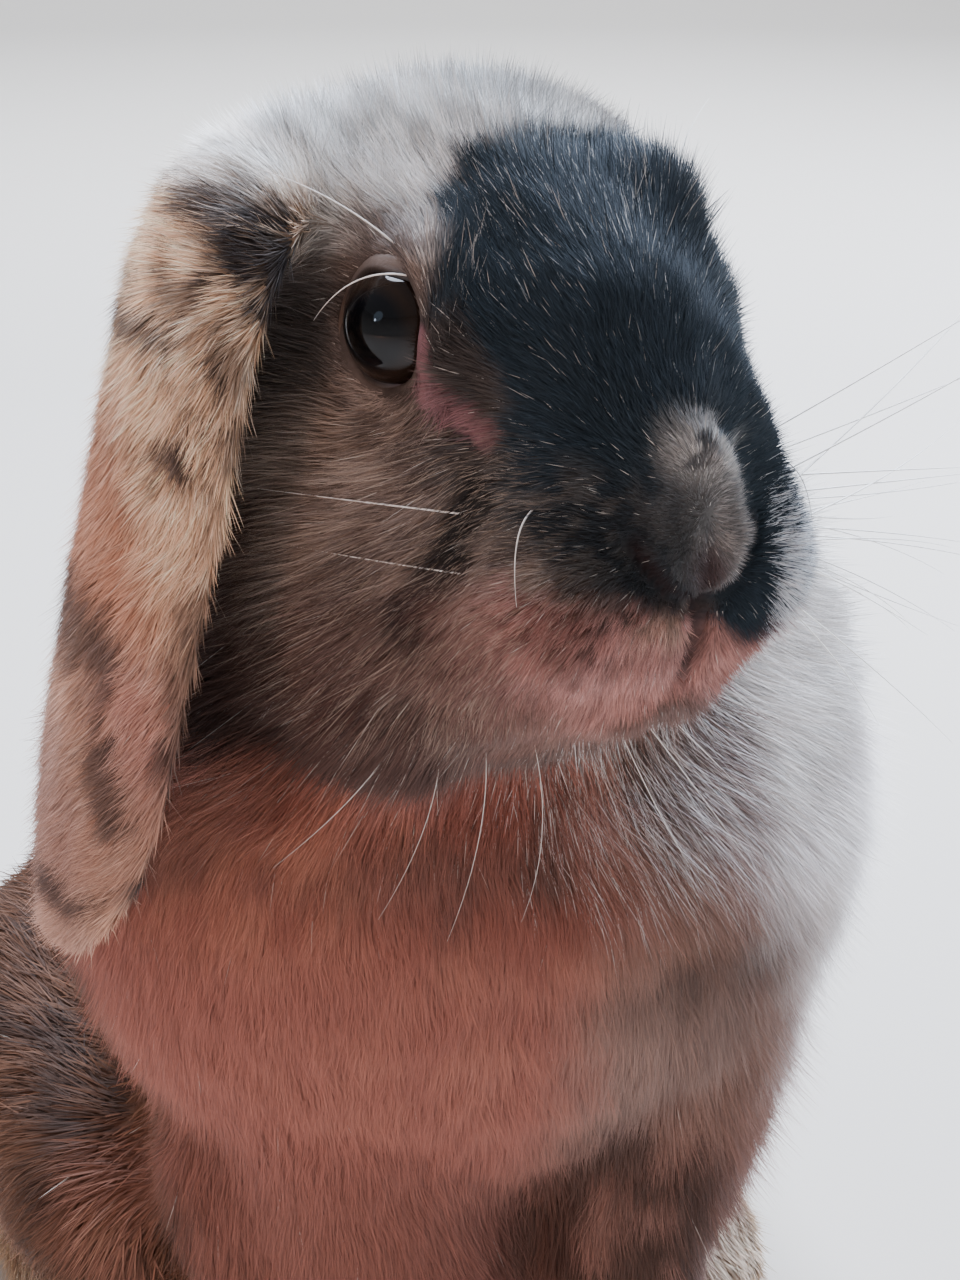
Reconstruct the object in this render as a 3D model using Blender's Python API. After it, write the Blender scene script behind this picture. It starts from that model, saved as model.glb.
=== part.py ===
"""A lop rabbit sitting upright with its head turned, life size, as a still model.

The coat's outer form is modelled whole: closed forms for head, trunk and limbs are fused
by a voxel remesh and smoothed, flattened where they touch the floor, and then parted by
thin cuts into the named parts of the body. The ears and the eyes are solids of their own.
The model's frame is +Z up, the chest faces -Y and the animal's left is +X. The origin lies
on the floor below the middle of the bounding box.
"""

import math

import bmesh
import bpy
import numpy as np
from mathutils import Matrix, Vector
from mathutils.bvhtree import BVHTree

MM = 0.001  # the sizes below are in millimetres

# ---- driving dimensions -------------------------------------------------------------
HEAD_CENTRE = (-6.3, -32.8, 194.2)
HEAD_YAW = 12.0  # degrees, turned towards the animal's left
HEAD_PITCH = 4.0  # degrees, nose down
HEAD_ROLL = -1.0  # degrees, crown leaning to the animal's left
EYE_CENTRE = (18.2, -5.0, 10.0)  # head's frame; mirrored for the other eye
EYE_RADIUS = 8.0
EYE_SEGMENTS = 16
GAP = 0.35  # clearance of the eyes, and width of the cuts that part the body
EAR_GAP = 0.8  # clearance of the ears from the head and the neck
VOXEL = 2.5  # cell of the fusing remesh
BODY_TRIANGLES = 4000  # of the fused form, before it is parted

# Head, front to back in its own frame: (y, top, bottom, half width).
HEAD_STATIONS = (
    (-45.0, -2.0, -19.0, 9.0),
    (-41.0, 7.0, -28.0, 15.5),
    (-34.0, 16.0, -36.0, 20.0),
    (-23.0, 25.0, -44.0, 23.5),
    (-9.0, 32.0, -52.0, 27.0),
    (6.0, 35.5, -57.0, 31.0),
    (20.0, 35.0, -53.0, 32.0),
    (33.0, 28.0, -41.0, 27.0),
    (42.0, 13.0, -20.0, 14.0),
)
CROWN_TAPER = 0.28  # share of the width lost towards the top of the head
# Rounded masses of the head: (x, y, z, radius x, radius y, radius z); x > 0 is mirrored.
HEAD_MASSES = (
    (11.0, -33.0, -16.5, 12.5, 12.0, 12.5),  # whisker pads
    (0.0, -31.0, -31.0, 12.5, 11.0, 8.5),  # chin
    (14.0, -18.0, -24.0, 13.5, 16.0, 19.0),  # sides of the muzzle
    (0.0, -31.0, 1.0, 12.0, 14.0, 12.0),  # bridge of the nose
    (14.5, -18.0, 9.0, 8.5, 9.0, 11.0),  # front rims of the eye sockets
    (15.5, 3.0, -28.0, 18.0, 26.0, 29.0),  # cheeks
    (14.0, -6.0, 17.0, 8.0, 13.0, 7.0),  # brows
    (0.0, 14.0, 20.0, 24.0, 22.0, 15.0),  # crown between the ears
)
# The bases of the ears stand unequally, as the left ear is let down and back.
EAR_BASES = (
    (-20.0, 17.0, 21.5, 13.0, 12.0, 12.0),
    (17.0, 22.0, 12.0, 12.0, 12.0, 12.0),
)
# The coat stands fuller over the left brow.
BROW_TUFT = (13.5, -5.5, 20.5, 10.5, 14.0, 9.0)
# Trunk, from the nape down the spine to the rump: (y, z, half width, rise, fall), where
# rise is to the back and fall to the breast and belly.
TRUNK_STATIONS = (
    (-12.0, 180.0, 34.0, 32.0, 26.0),
    (-6.0, 158.0, 50.0, 39.0, 31.0),
    (0.0, 132.0, 61.5, 44.0, 46.5),
    (6.0, 104.0, 63.0, 50.0, 48.0),
    (32.0, 82.0, 53.0, 47.0, 47.0),
    (64.0, 66.0, 46.0, 43.0, 43.0),
    (96.0, 54.0, 46.0, 40.0, 40.0),
    (122.0, 47.0, 42.0, 37.0, 35.0),
    (138.0, 42.0, 24.0, 20.0, 22.0),
)
# Limbs of the left side: (x, y, z, half width, half height) along each.
FORELEG_STATIONS = (
    (33.0, -2.0, 112.0, 22.0, 27.0),
    (28.5, -4.0, 88.0, 22.0, 27.0),
    (22.5, -6.0, 64.0, 21.0, 22.0),
    (18.5, -10.0, 42.0, 17.0, 17.0),
    (16.5, -16.0, 20.0, 13.5, 13.0),
    (16.0, -20.0, 9.0, 12.0, 12.0),
)
FOREPAW_STATIONS = (
    (15.5, -10.0, 9.0, 10.0, 9.0),
    (15.5, -20.0, 9.5, 12.5, 11.0),
    (15.5, -32.0, 8.5, 13.5, 10.0),
    (15.0, -43.0, 7.0, 12.0, 8.0),
    (15.0, -50.0, 5.5, 7.0, 5.0),
)
THIGH_STATIONS = (
    (30.0, 106.0, 56.0, 18.0, 19.0),
    (42.0, 98.0, 46.0, 25.0, 23.0),
    (48.0, 82.0, 40.0, 25.0, 25.0),
    (51.0, 64.0, 37.5, 22.0, 24.0),
    (51.5, 46.0, 37.0, 19.5, 22.5),
    (51.0, 32.0, 37.0, 17.0, 22.0),
    (50.0, 21.0, 35.0, 12.5, 16.5),
    (49.5, 13.0, 33.0, 6.0, 8.0),
)
HINDFOOT_STATIONS = (
    (52.0, 118.0, 12.0, 9.0, 10.0),
    (52.0, 106.0, 13.0, 14.0, 14.0),
    (53.0, 84.0, 12.0, 15.0, 13.0),
    (53.0, 56.0, 10.5, 15.0, 11.5),
    (52.0, 34.0, 9.5, 15.5, 10.5),
    (51.0, 18.0, 8.0, 13.0, 8.5),
    (50.0, 10.0, 6.0, 7.0, 5.5),
)
FORELEG_SHIFT = 3.0  # both forelegs stand a little to the animal's left
TAIL_MASS = (0.0, 140.0, 35.0, 17.0, 17.0, 23.0)
HIP_MASS = (33.0, 100.0, 52.0, 21.0, 26.0, 26.0)  # joins each thigh to the rump
FLANK_FOLD = (-38.0, 4.0, 60.0, 13.0, 14.0, 28.0)  # closes the right knee to the breast
# Ear of the animal's right side, in the head's frame, root to tip:
# (x, y, z, half width, thickness, curl of the section in radians).
EAR_STATIONS = (
    (-14.0, 17.0, 20.0, 11.0, 12.0, 0.6),
    (-24.0, 17.0, 26.0, 14.0, 12.0, 0.9),
    (-34.5, 16.5, 23.0, 17.5, 11.0, 1.2),
    (-42.5, 15.5, 11.0, 20.0, 9.5, 1.15),
    (-48.0, 14.0, -5.0, 22.5, 8.0, 1.0),
    (-53.5, 12.5, -24.0, 24.0, 7.5, 0.85),
    (-58.5, 11.0, -45.0, 25.0, 7.5, 0.72),
    (-61.0, 10.0, -60.0, 21.0, 7.0, 0.62),
    (-63.0, 9.5, -71.5, 9.0, 4.0, 0.4),
)


EAR_RINGS, EAR_SEGMENTS = 16, 14
EAR_FOLD = 5  # first ring that hangs free of the crown
EAR_OUTWARD = np.array([-1.0, 0.0, 1.2])  # side of the right ear that its back faces
EAR_TOE_IN = 0.25  # how far the front edge of an ear turns in to the cheek
# The left ear hangs further back and lower: it is turned at its root and let down.
EAR_SWEEP = (
    Matrix.Translation((-15.0, 18.0, -4.0))
    @ Matrix.Rotation(math.radians(-56.0), 4, "Z")
    @ Matrix.Translation((15.0, -18.0, 0.0))
)


# Planes that part the body: a point (y, z) and a tilt about X in degrees. Each piece
# lies beyond its plane: above the throat, and behind all the others.
THROAT = (-30.0, 133.0, 8.0)
NAPE = (4.0, 176.0, -22.0)
TAIL_ROOT = (139.5, 34.0, 0.0)
RUMP = (92.0, 60.0, -12.0)
RIBS = (44.0, 76.0, -38.0)
MUZZLE_DEPTH = -24.0  # back of the muzzle, in the head's frame
ELBOW = (9.0, 54.0)  # back and top of the free foreleg
WRIST = 21.0  # top of the forepaw
HIP = (36.0, 8.0, 86.0)  # inner side, front and top of the thigh
HOCK = 24.5  # top of the hind foot
SOLE_TRIM = 0.8  # taken off the lowest soles to make them flat

COAT_COLOUR = (0.26, 0.17, 0.13)
COAT_COLOURS = {
    "head": (0.12, 0.10, 0.09),
    "muzzle": (0.05, 0.05, 0.05),
    "neck": (0.30, 0.26, 0.22),
    "ear_left": (0.45, 0.33, 0.23),
    "ear_right": (0.45, 0.33, 0.23),
    "chest": (0.42, 0.24, 0.18),
}
COAT_ROUGHNESS = 0.85
EYE_COLOUR = (0.01, 0.01, 0.012)
EYE_ROUGHNESS = 0.05

# ---- curves and closed forms --------------------------------------------------------
def through(rows, count):
    """Catmull-Rom curve through rows of numbers, read at count evenly spaced places."""
    rows = np.asarray(rows, float)
    padded = np.vstack([2 * rows[0] - rows[1], rows, 2 * rows[-1] - rows[-2]])
    place = np.linspace(0, len(rows) - 1, count)
    index = np.minimum(place.astype(int), len(rows) - 2)
    t = (place - index)[:, None]
    a, b, c, d = (padded[index + k] for k in range(4))
    return 0.5 * (2 * b + (c - a) * t + (2 * a - 5 * b + 4 * c - d) * t**2 + (3 * b - a - 3 * c + d) * t**3)


def tube_mesh(bm, rings):
    """Adds a closed tube through rings of points, each end drawn to a point."""
    rings = np.asarray(rings) * MM
    loops = [[bm.verts.new(p) for p in ring] for ring in rings]
    count = len(loops[0])
    faces = [
        bm.faces.new((a[i], a[(i + 1) % count], b[(i + 1) % count], b[i]))
        for a, b in zip(loops, loops[1:])
        for i in range(count)
    ]
    for loop, centre in ((loops[0], rings[0].mean(0)), (loops[-1], rings[-1].mean(0))):
        tip = bm.verts.new(centre)
        faces += [bm.faces.new((loop[i], loop[(i + 1) % count], tip)) for i in range(count)]
    bmesh.ops.recalc_face_normals(bm, faces=faces)


def section_tube(bm, centres, widths, rises, falls, turn=None, segments=32, power=2.0, taper=0.0):
    """Adds a tube of superelliptic sections that stand square to the line of centres."""
    angle = np.linspace(0, 2 * math.pi, segments, endpoint=False)
    across = np.sign(np.cos(angle)) * np.abs(np.cos(angle)) ** (2 / power)
    along = np.sign(np.sin(angle)) * np.abs(np.sin(angle)) ** (2 / power)
    tangents = np.gradient(centres, axis=0)
    tangents /= np.linalg.norm(tangents, axis=1)[:, None]
    rings = []
    tapers = np.broadcast_to(taper, len(centres))
    for centre, tangent, width, rise, fall, taper in zip(centres, tangents, widths, rises, falls, tapers):
        side = np.array([1.0, 0.0, 0.0]) - tangent * tangent[0]
        side /= np.linalg.norm(side)
        up = np.cross(side, tangent)
        up *= 1.0 if up[1] + up[2] > 0 else -1.0
        height = np.where(along > 0, rise, fall) * along
        narrowed = across * width * (1 - taper * np.maximum(along, 0))
        rings.append(centre + np.outer(narrowed, side) + np.outer(height, up))
    rings = np.array(rings)
    if turn is not None:
        rings = placed(rings, turn)
    tube_mesh(bm, rings)


def placed(points, matrix):
    """Points in millimetres moved by a 4 x 4 matrix in millimetres."""
    matrix = np.array(matrix)
    return points @ matrix[:3, :3].T + matrix[:3, 3]


def mass(bm, row, turn=None, segments=24):
    """Adds an ellipsoid from (x, y, z, radius x, radius y, radius z)."""
    polar = np.linspace(0, math.pi, segments // 2 + 2)[1:-1]
    angle = np.linspace(0, 2 * math.pi, segments, endpoint=False)
    centre, radii = np.array(row[:3]), np.array(row[3:])
    unit = np.stack(
        [
            np.outer(np.sin(polar), np.cos(angle)),
            np.outer(np.sin(polar), np.sin(angle)),
            np.outer(np.cos(polar), np.ones_like(angle)),
        ],
        axis=-1,
    )
    rings = centre + unit * radii
    tube_mesh(bm, rings if turn is None else placed(rings, turn))


def mirrored(row):
    """The same row on the other side of the middle plane."""
    return (-row[0], *row[1:])


def head_matrix():
    """The head's place and turn in the body's frame, in millimetres."""
    turn = Matrix.Rotation(math.radians(HEAD_YAW), 4, "Z")
    turn @= Matrix.Rotation(math.radians(HEAD_PITCH), 4, "X")
    turn @= Matrix.Rotation(math.radians(HEAD_ROLL), 4, "Y")
    return Matrix.Translation(HEAD_CENTRE) @ turn


def mesh_object(name, bm):
    """Links a new object that holds this bmesh."""
    mesh = bpy.data.meshes.new(name)
    bm.to_mesh(mesh)
    bm.free()
    found = bpy.data.objects.new(name, mesh)
    bpy.context.scene.collection.objects.link(found)
    return found


# ---- the fused body -----------------------------------------------------------------
def head_forms(bm):
    """Skull and face: one loft from nose to nape with its rounded masses."""
    turn = head_matrix()
    rows = through(HEAD_STATIONS, 30)
    top, bottom = rows[:, 1], rows[:, 2]
    middle = bottom + 0.46 * (top - bottom)
    centres = np.stack([np.zeros(len(rows)), rows[:, 0], middle], axis=1)
    taper = CROWN_TAPER * np.clip((rows[:, 0] + 38.0) / 30.0, 0, 1)
    section_tube(bm, centres, rows[:, 3], top - middle, middle - bottom, turn, power=2.15, taper=taper)
    for row in HEAD_MASSES:
        mass(bm, row, turn)
        if row[0]:
            mass(bm, mirrored(row), turn)
    for row in (*EAR_BASES, BROW_TUFT):
        mass(bm, row, turn)


def limb(bm, stations, side, shift=0.0, count=16):
    """One limb's tube on the left (side 1) or the right (side -1)."""
    rows = through(stations, count)
    centres = rows[:, :3] * (side, 1, 1) + (shift, 0, 0)
    section_tube(bm, centres, rows[:, 3], rows[:, 4], rows[:, 4], segments=24)


def fused_body():
    """All forms but the ears and eyes, fused, smoothed and thinned to the budget."""
    bm = bmesh.new()
    head_forms(bm)
    rows = through(TRUNK_STATIONS, 34)
    centres = np.stack([np.zeros(len(rows)), rows[:, 0], rows[:, 1]], axis=1)
    section_tube(bm, centres, rows[:, 2], rows[:, 3], rows[:, 4])
    for side in (1, -1):
        for stations in (FORELEG_STATIONS, FOREPAW_STATIONS):
            limb(bm, stations, side, FORELEG_SHIFT)
        for stations in (THIGH_STATIONS, HINDFOOT_STATIONS):
            limb(bm, stations, side)
    mass(bm, TAIL_MASS)
    mass(bm, FLANK_FOLD)
    mass(bm, HIP_MASS)
    mass(bm, mirrored(HIP_MASS))
    body = mesh_object("body_form", bm)
    remesh = body.modifiers.new("fuse", "REMESH")
    remesh.mode = "VOXEL"
    remesh.voxel_size = VOXEL * MM
    smooth = body.modifiers.new("blend", "SMOOTH")
    smooth.factor = 0.5
    smooth.iterations = 8
    return body


def ear_form(side, body):
    """One hanging ear: a leaf whose cross-section is bent round the cheek.

    Across the ear, an angle runs once round the section, and the leaf is bent to an arc of
    the station's curl. Its thickness falls off as an ellipse towards both edges.
    """
    rows = through(EAR_STATIONS, EAR_RINGS)
    centres = rows[:, :3]
    tangents = np.gradient(centres, axis=0)
    tangents /= np.linalg.norm(tangents, axis=1)[:, None]
    angle = np.linspace(0, 2 * math.pi, EAR_SEGMENTS, endpoint=False)
    rings = []
    for centre, tangent, row in zip(centres, tangents, rows):
        half, thick, curl = row[3:]
        across = np.array([EAR_TOE_IN, 1.0, 0.0])
        across -= tangent * (tangent @ across)
        across /= np.linalg.norm(across)
        out = np.cross(across, tangent)
        out *= 1.0 if out @ EAR_OUTWARD > 0 else -1.0
        bend = curl * np.cos(angle)
        radius = half / curl
        lift = 0.5 * thick * np.sin(angle)
        rings.append(
            centre
            + np.outer((radius + lift) * np.sin(bend), across)
            + np.outer((radius + lift) * np.cos(bend) - radius, out)
        )
    rings = np.array(rings)
    if side > 0:
        rings = placed(rings, EAR_SWEEP) * (-1, 1, 1)
    bm = bmesh.new()
    tube_mesh(bm, rested(placed(rings, head_matrix()), body))
    return bm


def rested(rings, body):
    """Rings of a hanging ear moved out of the body, so that the ear lies on the neck.

    Each ring beyond the fold moves as one, along the body's normal at the ring's deepest
    point, and the moves are then evened out along the ear. Three rounds settle it.
    """
    tree = BVHTree.FromPolygons(
        [v.co / MM for v in body.data.vertices], [p.vertices[:] for p in body.data.polygons]
    )
    for _ in range(3):
        moves = np.zeros((len(rings), 3))
        for index in range(EAR_FOLD, len(rings)):
            for point in rings[index]:
                hit, normal, _, _ = tree.find_nearest(Vector(point))
                short = EAR_GAP - (Vector(point) - hit).dot(normal)
                if short > np.linalg.norm(moves[index]):
                    moves[index] = np.array(normal) * short
        moves[1:-1] = (moves[:-2] + 2 * moves[1:-1] + moves[2:]) / 4
        rings = rings + moves[:, None]
    return rings


def globe(side, radius):
    """A ball at the centre of one eye."""
    bm = bmesh.new()
    centre = (side * EYE_CENTRE[0], *EYE_CENTRE[1:])
    mass(bm, (*centre, radius, radius, radius), head_matrix(), EYE_SEGMENTS)
    return bm


# ---- parting ------------------------------------------------------------------------
def settle(item):
    """Replaces an object's mesh by what its modifiers make of it."""
    graph = bpy.context.evaluated_depsgraph_get()
    mesh = bpy.data.meshes.new_from_object(item.evaluated_get(graph))
    item.modifiers.clear()
    item.data, old = mesh, item.data
    bpy.data.meshes.remove(old)


def largest_body(item):
    """Keeps the largest connected body of a mesh, dropping slivers that a cut leaves."""
    bm = bmesh.new()
    bm.from_mesh(item.data)
    left, bodies = set(bm.verts), []
    while left:
        body, front = set(), {next(iter(left))}
        while front:
            body |= front
            front = {edge.other_vert(v) for v in front for edge in v.link_edges} - body
        bodies.append(body)
        left -= body
    keep = max(bodies, key=len)
    bmesh.ops.delete(bm, geom=[v for v in bm.verts if v not in keep], context="VERTS")
    bmesh.ops.triangulate(bm, faces=bm.faces)
    bm.to_mesh(item.data)
    bm.free()


def combine(item, cutter_form, operation):
    """Applies an exact Boolean between an object and a cutter, which is then removed."""
    cutter = mesh_object("cutter", cutter_form)
    cutter.hide_render = True
    cutter.display_type = "WIRE"
    boolean = item.modifiers.new("part", "BOOLEAN")
    boolean.solver = "EXACT"
    boolean.operation = operation
    boolean.object = cutter
    settle(item)
    bpy.data.objects.remove(cutter)
    largest_body(item)


def clearance_of(body):
    """The body's own form grown along its normals by the ears' gap, as a cutter."""
    bm = bmesh.new()
    bm.from_mesh(body.data)
    bm.normal_update()
    for vert in bm.verts:
        vert.co += vert.normal * EAR_GAP * MM
    return bm


def block(low, high, place=None, grow=0.0):
    """A box between two corners in millimetres, grown on all sides, then turned."""
    low, high = np.array(low) - grow, np.array(high) + grow
    corners = [[x, y, z] for x in (low[0], high[0]) for y in (low[1], high[1]) for z in (low[2], high[2])]
    corners = placed(np.array(corners), place or Matrix.Identity(4)) * MM
    bm = bmesh.new()
    verts = [bm.verts.new(corner) for corner in corners]
    for face in ((0, 1, 3, 2), (4, 6, 7, 5), (0, 4, 5, 1), (2, 3, 7, 6), (0, 2, 6, 4), (1, 5, 7, 3)):
        bm.faces.new([verts[i] for i in face])
    bmesh.ops.recalc_face_normals(bm, faces=bm.faces)
    return bm


def beyond(y, z, tilt):
    """Place of a box whose base lies in a plane through (y, z), tilted about X."""
    return Matrix.Translation((0, y, z)) @ Matrix.Rotation(math.radians(tilt), 4, "X")


def part_off(body, name, low, high, place=None):
    """Takes what lies in a box off the body as an object, and leaves a thin cut."""
    piece = body.copy()
    piece.data = body.data.copy()
    piece.name = piece.data.name = name
    bpy.context.scene.collection.objects.link(piece)
    combine(piece, block(low, high, place), "INTERSECT")
    combine(body, block(low, high, place, grow=GAP), "DIFFERENCE")
    return piece


def on_the_floor(body):
    """Moves the body over the origin and trims the soles to flats on the floor."""
    corners = np.array([v.co for v in body.data.vertices]) / MM
    low, high = corners.min(0), corners.max(0)
    middle = 0.5 * (low + high)
    shift = np.array([-middle[0], -middle[1], -(low[2] + SOLE_TRIM)])
    combine(body, block(low - 10, (*(high[:2] + 10), low[2] + SOLE_TRIM)), "DIFFERENCE")
    return shift


def finish(item, colour, roughness):
    """Gives an object its own material, and shades it smooth up to the sharp edges."""
    material = bpy.data.materials.new(item.name)
    material.use_nodes = True
    shader = material.node_tree.nodes["Principled BSDF"]
    shader.inputs["Base Color"].default_value = (*colour, 1.0)
    shader.inputs["Roughness"].default_value = roughness
    item.data.materials.clear()
    item.data.materials.append(material)
    item.data.shade_smooth()
    item.data.set_sharp_from_angle(angle=math.radians(40))


def part_body(body):
    """Parts the fused body into its named pieces, from the head down to the feet."""
    far = 200.0
    head = part_off(body, "head", (-far, -far, 0), (far, far, far), beyond(*THROAT))
    pieces = [head, part_off(head, "neck", (-far, 0, -far), (far, far, far), beyond(*NAPE))]
    muzzle_box = (-far, -far, -far), (far, MUZZLE_DEPTH, far)
    pieces.append(part_off(head, "muzzle", *muzzle_box, head_matrix()))
    pieces.append(part_off(body, "tail", (-far, 0, -far), (far, far, far), beyond(*TAIL_ROOT)))
    for side, name in ((1, "left"), (-1, "right")):
        middle = FORELEG_SHIFT + side * 0.5 * GAP
        inner, outer = sorted((middle, middle + side * far))
        leg_box = (inner, -far, -far), (outer, ELBOW[0], ELBOW[1])
        leg = part_off(body, f"foreleg_{name}", *leg_box)
        paw = part_off(leg, f"forepaw_{name}", (-far, -far, -far), (far, far, WRIST))
        inner, outer = sorted((side * HIP[0], side * far))
        thigh = part_off(body, f"thigh_{name}", (inner, HIP[1], -far), (outer, far, HIP[2]))
        foot = part_off(thigh, f"hindfoot_{name}", (-far, -far, -far), (far, far, HOCK))
        pieces += [leg, paw, thigh, foot]
    pieces.append(part_off(body, "rump", (-far, 0, -far), (far, far, far), beyond(*RUMP)))
    pieces.append(part_off(body, "loin", (-far, 0, -far), (far, far, far), beyond(*RIBS)))
    body.name = body.data.name = "chest"
    return [*pieces, body]


def main():
    """Builds the whole model."""
    for old in list(bpy.data.objects):
        bpy.data.objects.remove(old)
    body = fused_body()
    settle(body)
    thin = body.modifiers.new("thin", "DECIMATE")
    thin.ratio = BODY_TRIANGLES / (2.0 * len(body.data.polygons))
    settle(body)
    shift = on_the_floor(body)
    ears, eyes = [], []
    for side, name in ((1, "left"), (-1, "right")):
        ears.append(mesh_object(f"ear_{name}", ear_form(side, body)))
        combine(ears[-1], clearance_of(body), "DIFFERENCE")
    for side, name in ((1, "left"), (-1, "right")):
        combine(body, globe(side, EYE_RADIUS + GAP), "DIFFERENCE")
        eyes.append(mesh_object(f"eye_{name}", globe(side, EYE_RADIUS)))
    furred = [*part_body(body), *ears]
    for item in furred:
        finish(item, COAT_COLOURS.get(item.name, COAT_COLOUR), COAT_ROUGHNESS)
    for item in eyes:
        finish(item, EYE_COLOUR, EYE_ROUGHNESS)
    for item in (*furred, *eyes):
        item.data.transform(Matrix.Translation(shift * MM))


if __name__ == "__main__":
    main()
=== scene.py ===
"""A sitting lop rabbit: skin, coat, eyes, lids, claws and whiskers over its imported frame.

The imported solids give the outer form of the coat. One skin is fused from them and drawn in
by the coat's depth, and the coat stands on it as tufts that follow its lie. Lengths are
millimetres unless a name says otherwise; meshes are in metres.
"""

import logging
import math
from collections.abc import Iterable
from dataclasses import dataclass, field
from enum import Enum

import bmesh
import bpy
import numpy as np
from mathutils import Matrix, Vector
from mathutils.bvhtree import BVHTree

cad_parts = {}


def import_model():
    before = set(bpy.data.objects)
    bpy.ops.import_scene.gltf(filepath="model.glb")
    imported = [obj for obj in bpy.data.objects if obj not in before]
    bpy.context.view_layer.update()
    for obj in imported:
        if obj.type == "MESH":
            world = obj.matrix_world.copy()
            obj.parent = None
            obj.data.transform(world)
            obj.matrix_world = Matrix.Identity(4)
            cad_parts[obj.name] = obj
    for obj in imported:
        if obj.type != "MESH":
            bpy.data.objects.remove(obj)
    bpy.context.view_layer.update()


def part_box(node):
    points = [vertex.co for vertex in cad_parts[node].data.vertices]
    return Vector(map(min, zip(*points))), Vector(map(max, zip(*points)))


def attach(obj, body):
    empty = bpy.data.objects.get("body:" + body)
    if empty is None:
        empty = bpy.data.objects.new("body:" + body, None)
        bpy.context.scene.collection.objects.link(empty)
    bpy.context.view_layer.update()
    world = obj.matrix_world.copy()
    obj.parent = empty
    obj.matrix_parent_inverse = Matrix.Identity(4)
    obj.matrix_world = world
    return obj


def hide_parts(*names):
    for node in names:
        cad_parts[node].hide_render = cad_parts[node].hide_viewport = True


LOG = logging.getLogger("lop_rabbit")
MM = 0.001
FULL_TURN = 2 * math.pi
SIDES = (("left", 1.0), ("right", -1.0))
Array = np.ndarray
Object = bpy.types.Object
Form = tuple[Array, list[Array]]  # points, and faces as corner numbers


# ---- colours, noise and masks ---------------------------------------------------------
def linear(code: str) -> Array:
    """Turns an sRGB hex colour such as #808080 to linear red, green and blue."""
    srgb = np.array([int(code[i : i + 2], 16) for i in (1, 3, 5)]) / 255
    return np.where(srgb <= 0.04045, srgb / 12.92, ((srgb + 0.055) / 1.055) ** 2.4)


def ramp(low: float, high: float, value: Array) -> Array:
    """Smooth step: 0 below low, 1 above high, and 3t^2 - 2t^3 between."""
    t = np.clip((value - low) / (high - low), 0, 1)
    return t * t * (3 - 2 * t)


def noise(points: Array, size: float, seed: int) -> Array:
    """Value noise: random numbers at the corners of a lattice, blended smoothly between.

    Args:
        points: Places, one per row.
        size: Cell of the lattice.
        seed: Picks the pattern.

    Returns:
        One number from 0 to 1 for each place.
    """
    table = np.random.default_rng(seed).random(4096)
    place = points / size + 97.31  # off the origin, where lattices of all sizes would meet
    cell = np.floor(place).astype(np.int64)
    t = place - cell
    t = t * t * (3 - 2 * t)
    total = np.zeros(len(points))
    for corner in np.ndindex(2, 2, 2):
        scattered = (cell + corner) * [73856093, 19349663, 83492791]
        index = np.bitwise_xor.reduce(scattered, axis=1) & 4095
        total += np.prod(np.where(np.array(corner) == 1, t, 1 - t), axis=1) * table[index]
    return total


def blob(points: Array, centre: tuple, radii: tuple, edge: float = 0.35) -> Array:
    """Soft ellipsoid mask: 1 inside, 0 outside, blurred by a share of its half axes."""
    reach = np.linalg.norm((points - np.array(centre)) / np.array(radii), axis=1)
    return 1 - ramp(1 - edge, 1 + edge, reach)


def to_segment(points: Array, start: tuple, end: tuple) -> Array:
    """Distance from places to a straight stretch between two ends."""
    a, b = np.array(start), np.array(end)
    share = np.clip((points - a) @ (b - a) / ((b - a) @ (b - a)), 0, 1)
    return np.linalg.norm(points - a - share[:, None] * (b - a), axis=1)


def hill(value: Array, middle: Array | float, width: float) -> Array:
    """Bell curve: 1 at the middle and 1/e at one width from it."""
    return np.exp(-(((value - middle) / width) ** 2))


def unit(vectors: Array) -> Array:
    """Rows scaled to length one."""
    return vectors / np.maximum(np.linalg.norm(vectors, axis=-1, keepdims=True), 1e-12)


def mirror(points: Array) -> Array:
    """Places folded over to the left side."""
    return points * [0, 1, 1] + np.abs(points) * [1, 0, 0]


def box(node: str) -> Array:
    """Low and high corner of a node's box."""
    return np.array(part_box(node)) / MM


# ---- meshes ---------------------------------------------------------------------------
def link(name: str, data: bpy.types.ID) -> Object:
    """A new object for some data, linked to the scene at the origin."""
    made = bpy.data.objects.new(name, data)
    bpy.context.scene.collection.objects.link(made)
    return made


def mesh_of(name: str, points: Array, faces: list[Array], smooth: bool = True) -> Object:
    """Puts numpy arrays into a new object's mesh.

    Args:
        name: The object's name.
        points: Places in metres, one per row.
        faces: Arrays of corner numbers, one array for each number of corners.
        smooth: Whether its faces are shaded smooth.

    Returns:
        The object.
    """
    mesh = bpy.data.meshes.new(name)
    counts = np.concatenate([np.full(len(f), f.shape[1]) for f in faces])
    corners = np.concatenate([f.ravel() for f in faces])
    mesh.vertices.add(len(points))
    mesh.vertices.foreach_set("co", points.astype(np.float32).ravel())
    mesh.loops.add(len(corners))
    mesh.loops.foreach_set("vertex_index", corners.astype(np.int32))
    mesh.polygons.add(len(counts))
    starts = np.concatenate([[0], np.cumsum(counts)[:-1]])
    mesh.polygons.foreach_set("loop_start", starts.astype(np.int32))
    mesh.polygons.foreach_set("use_smooth", np.full(len(counts), smooth))
    mesh.update(calc_edges=True)
    return link(name, mesh)


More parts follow.
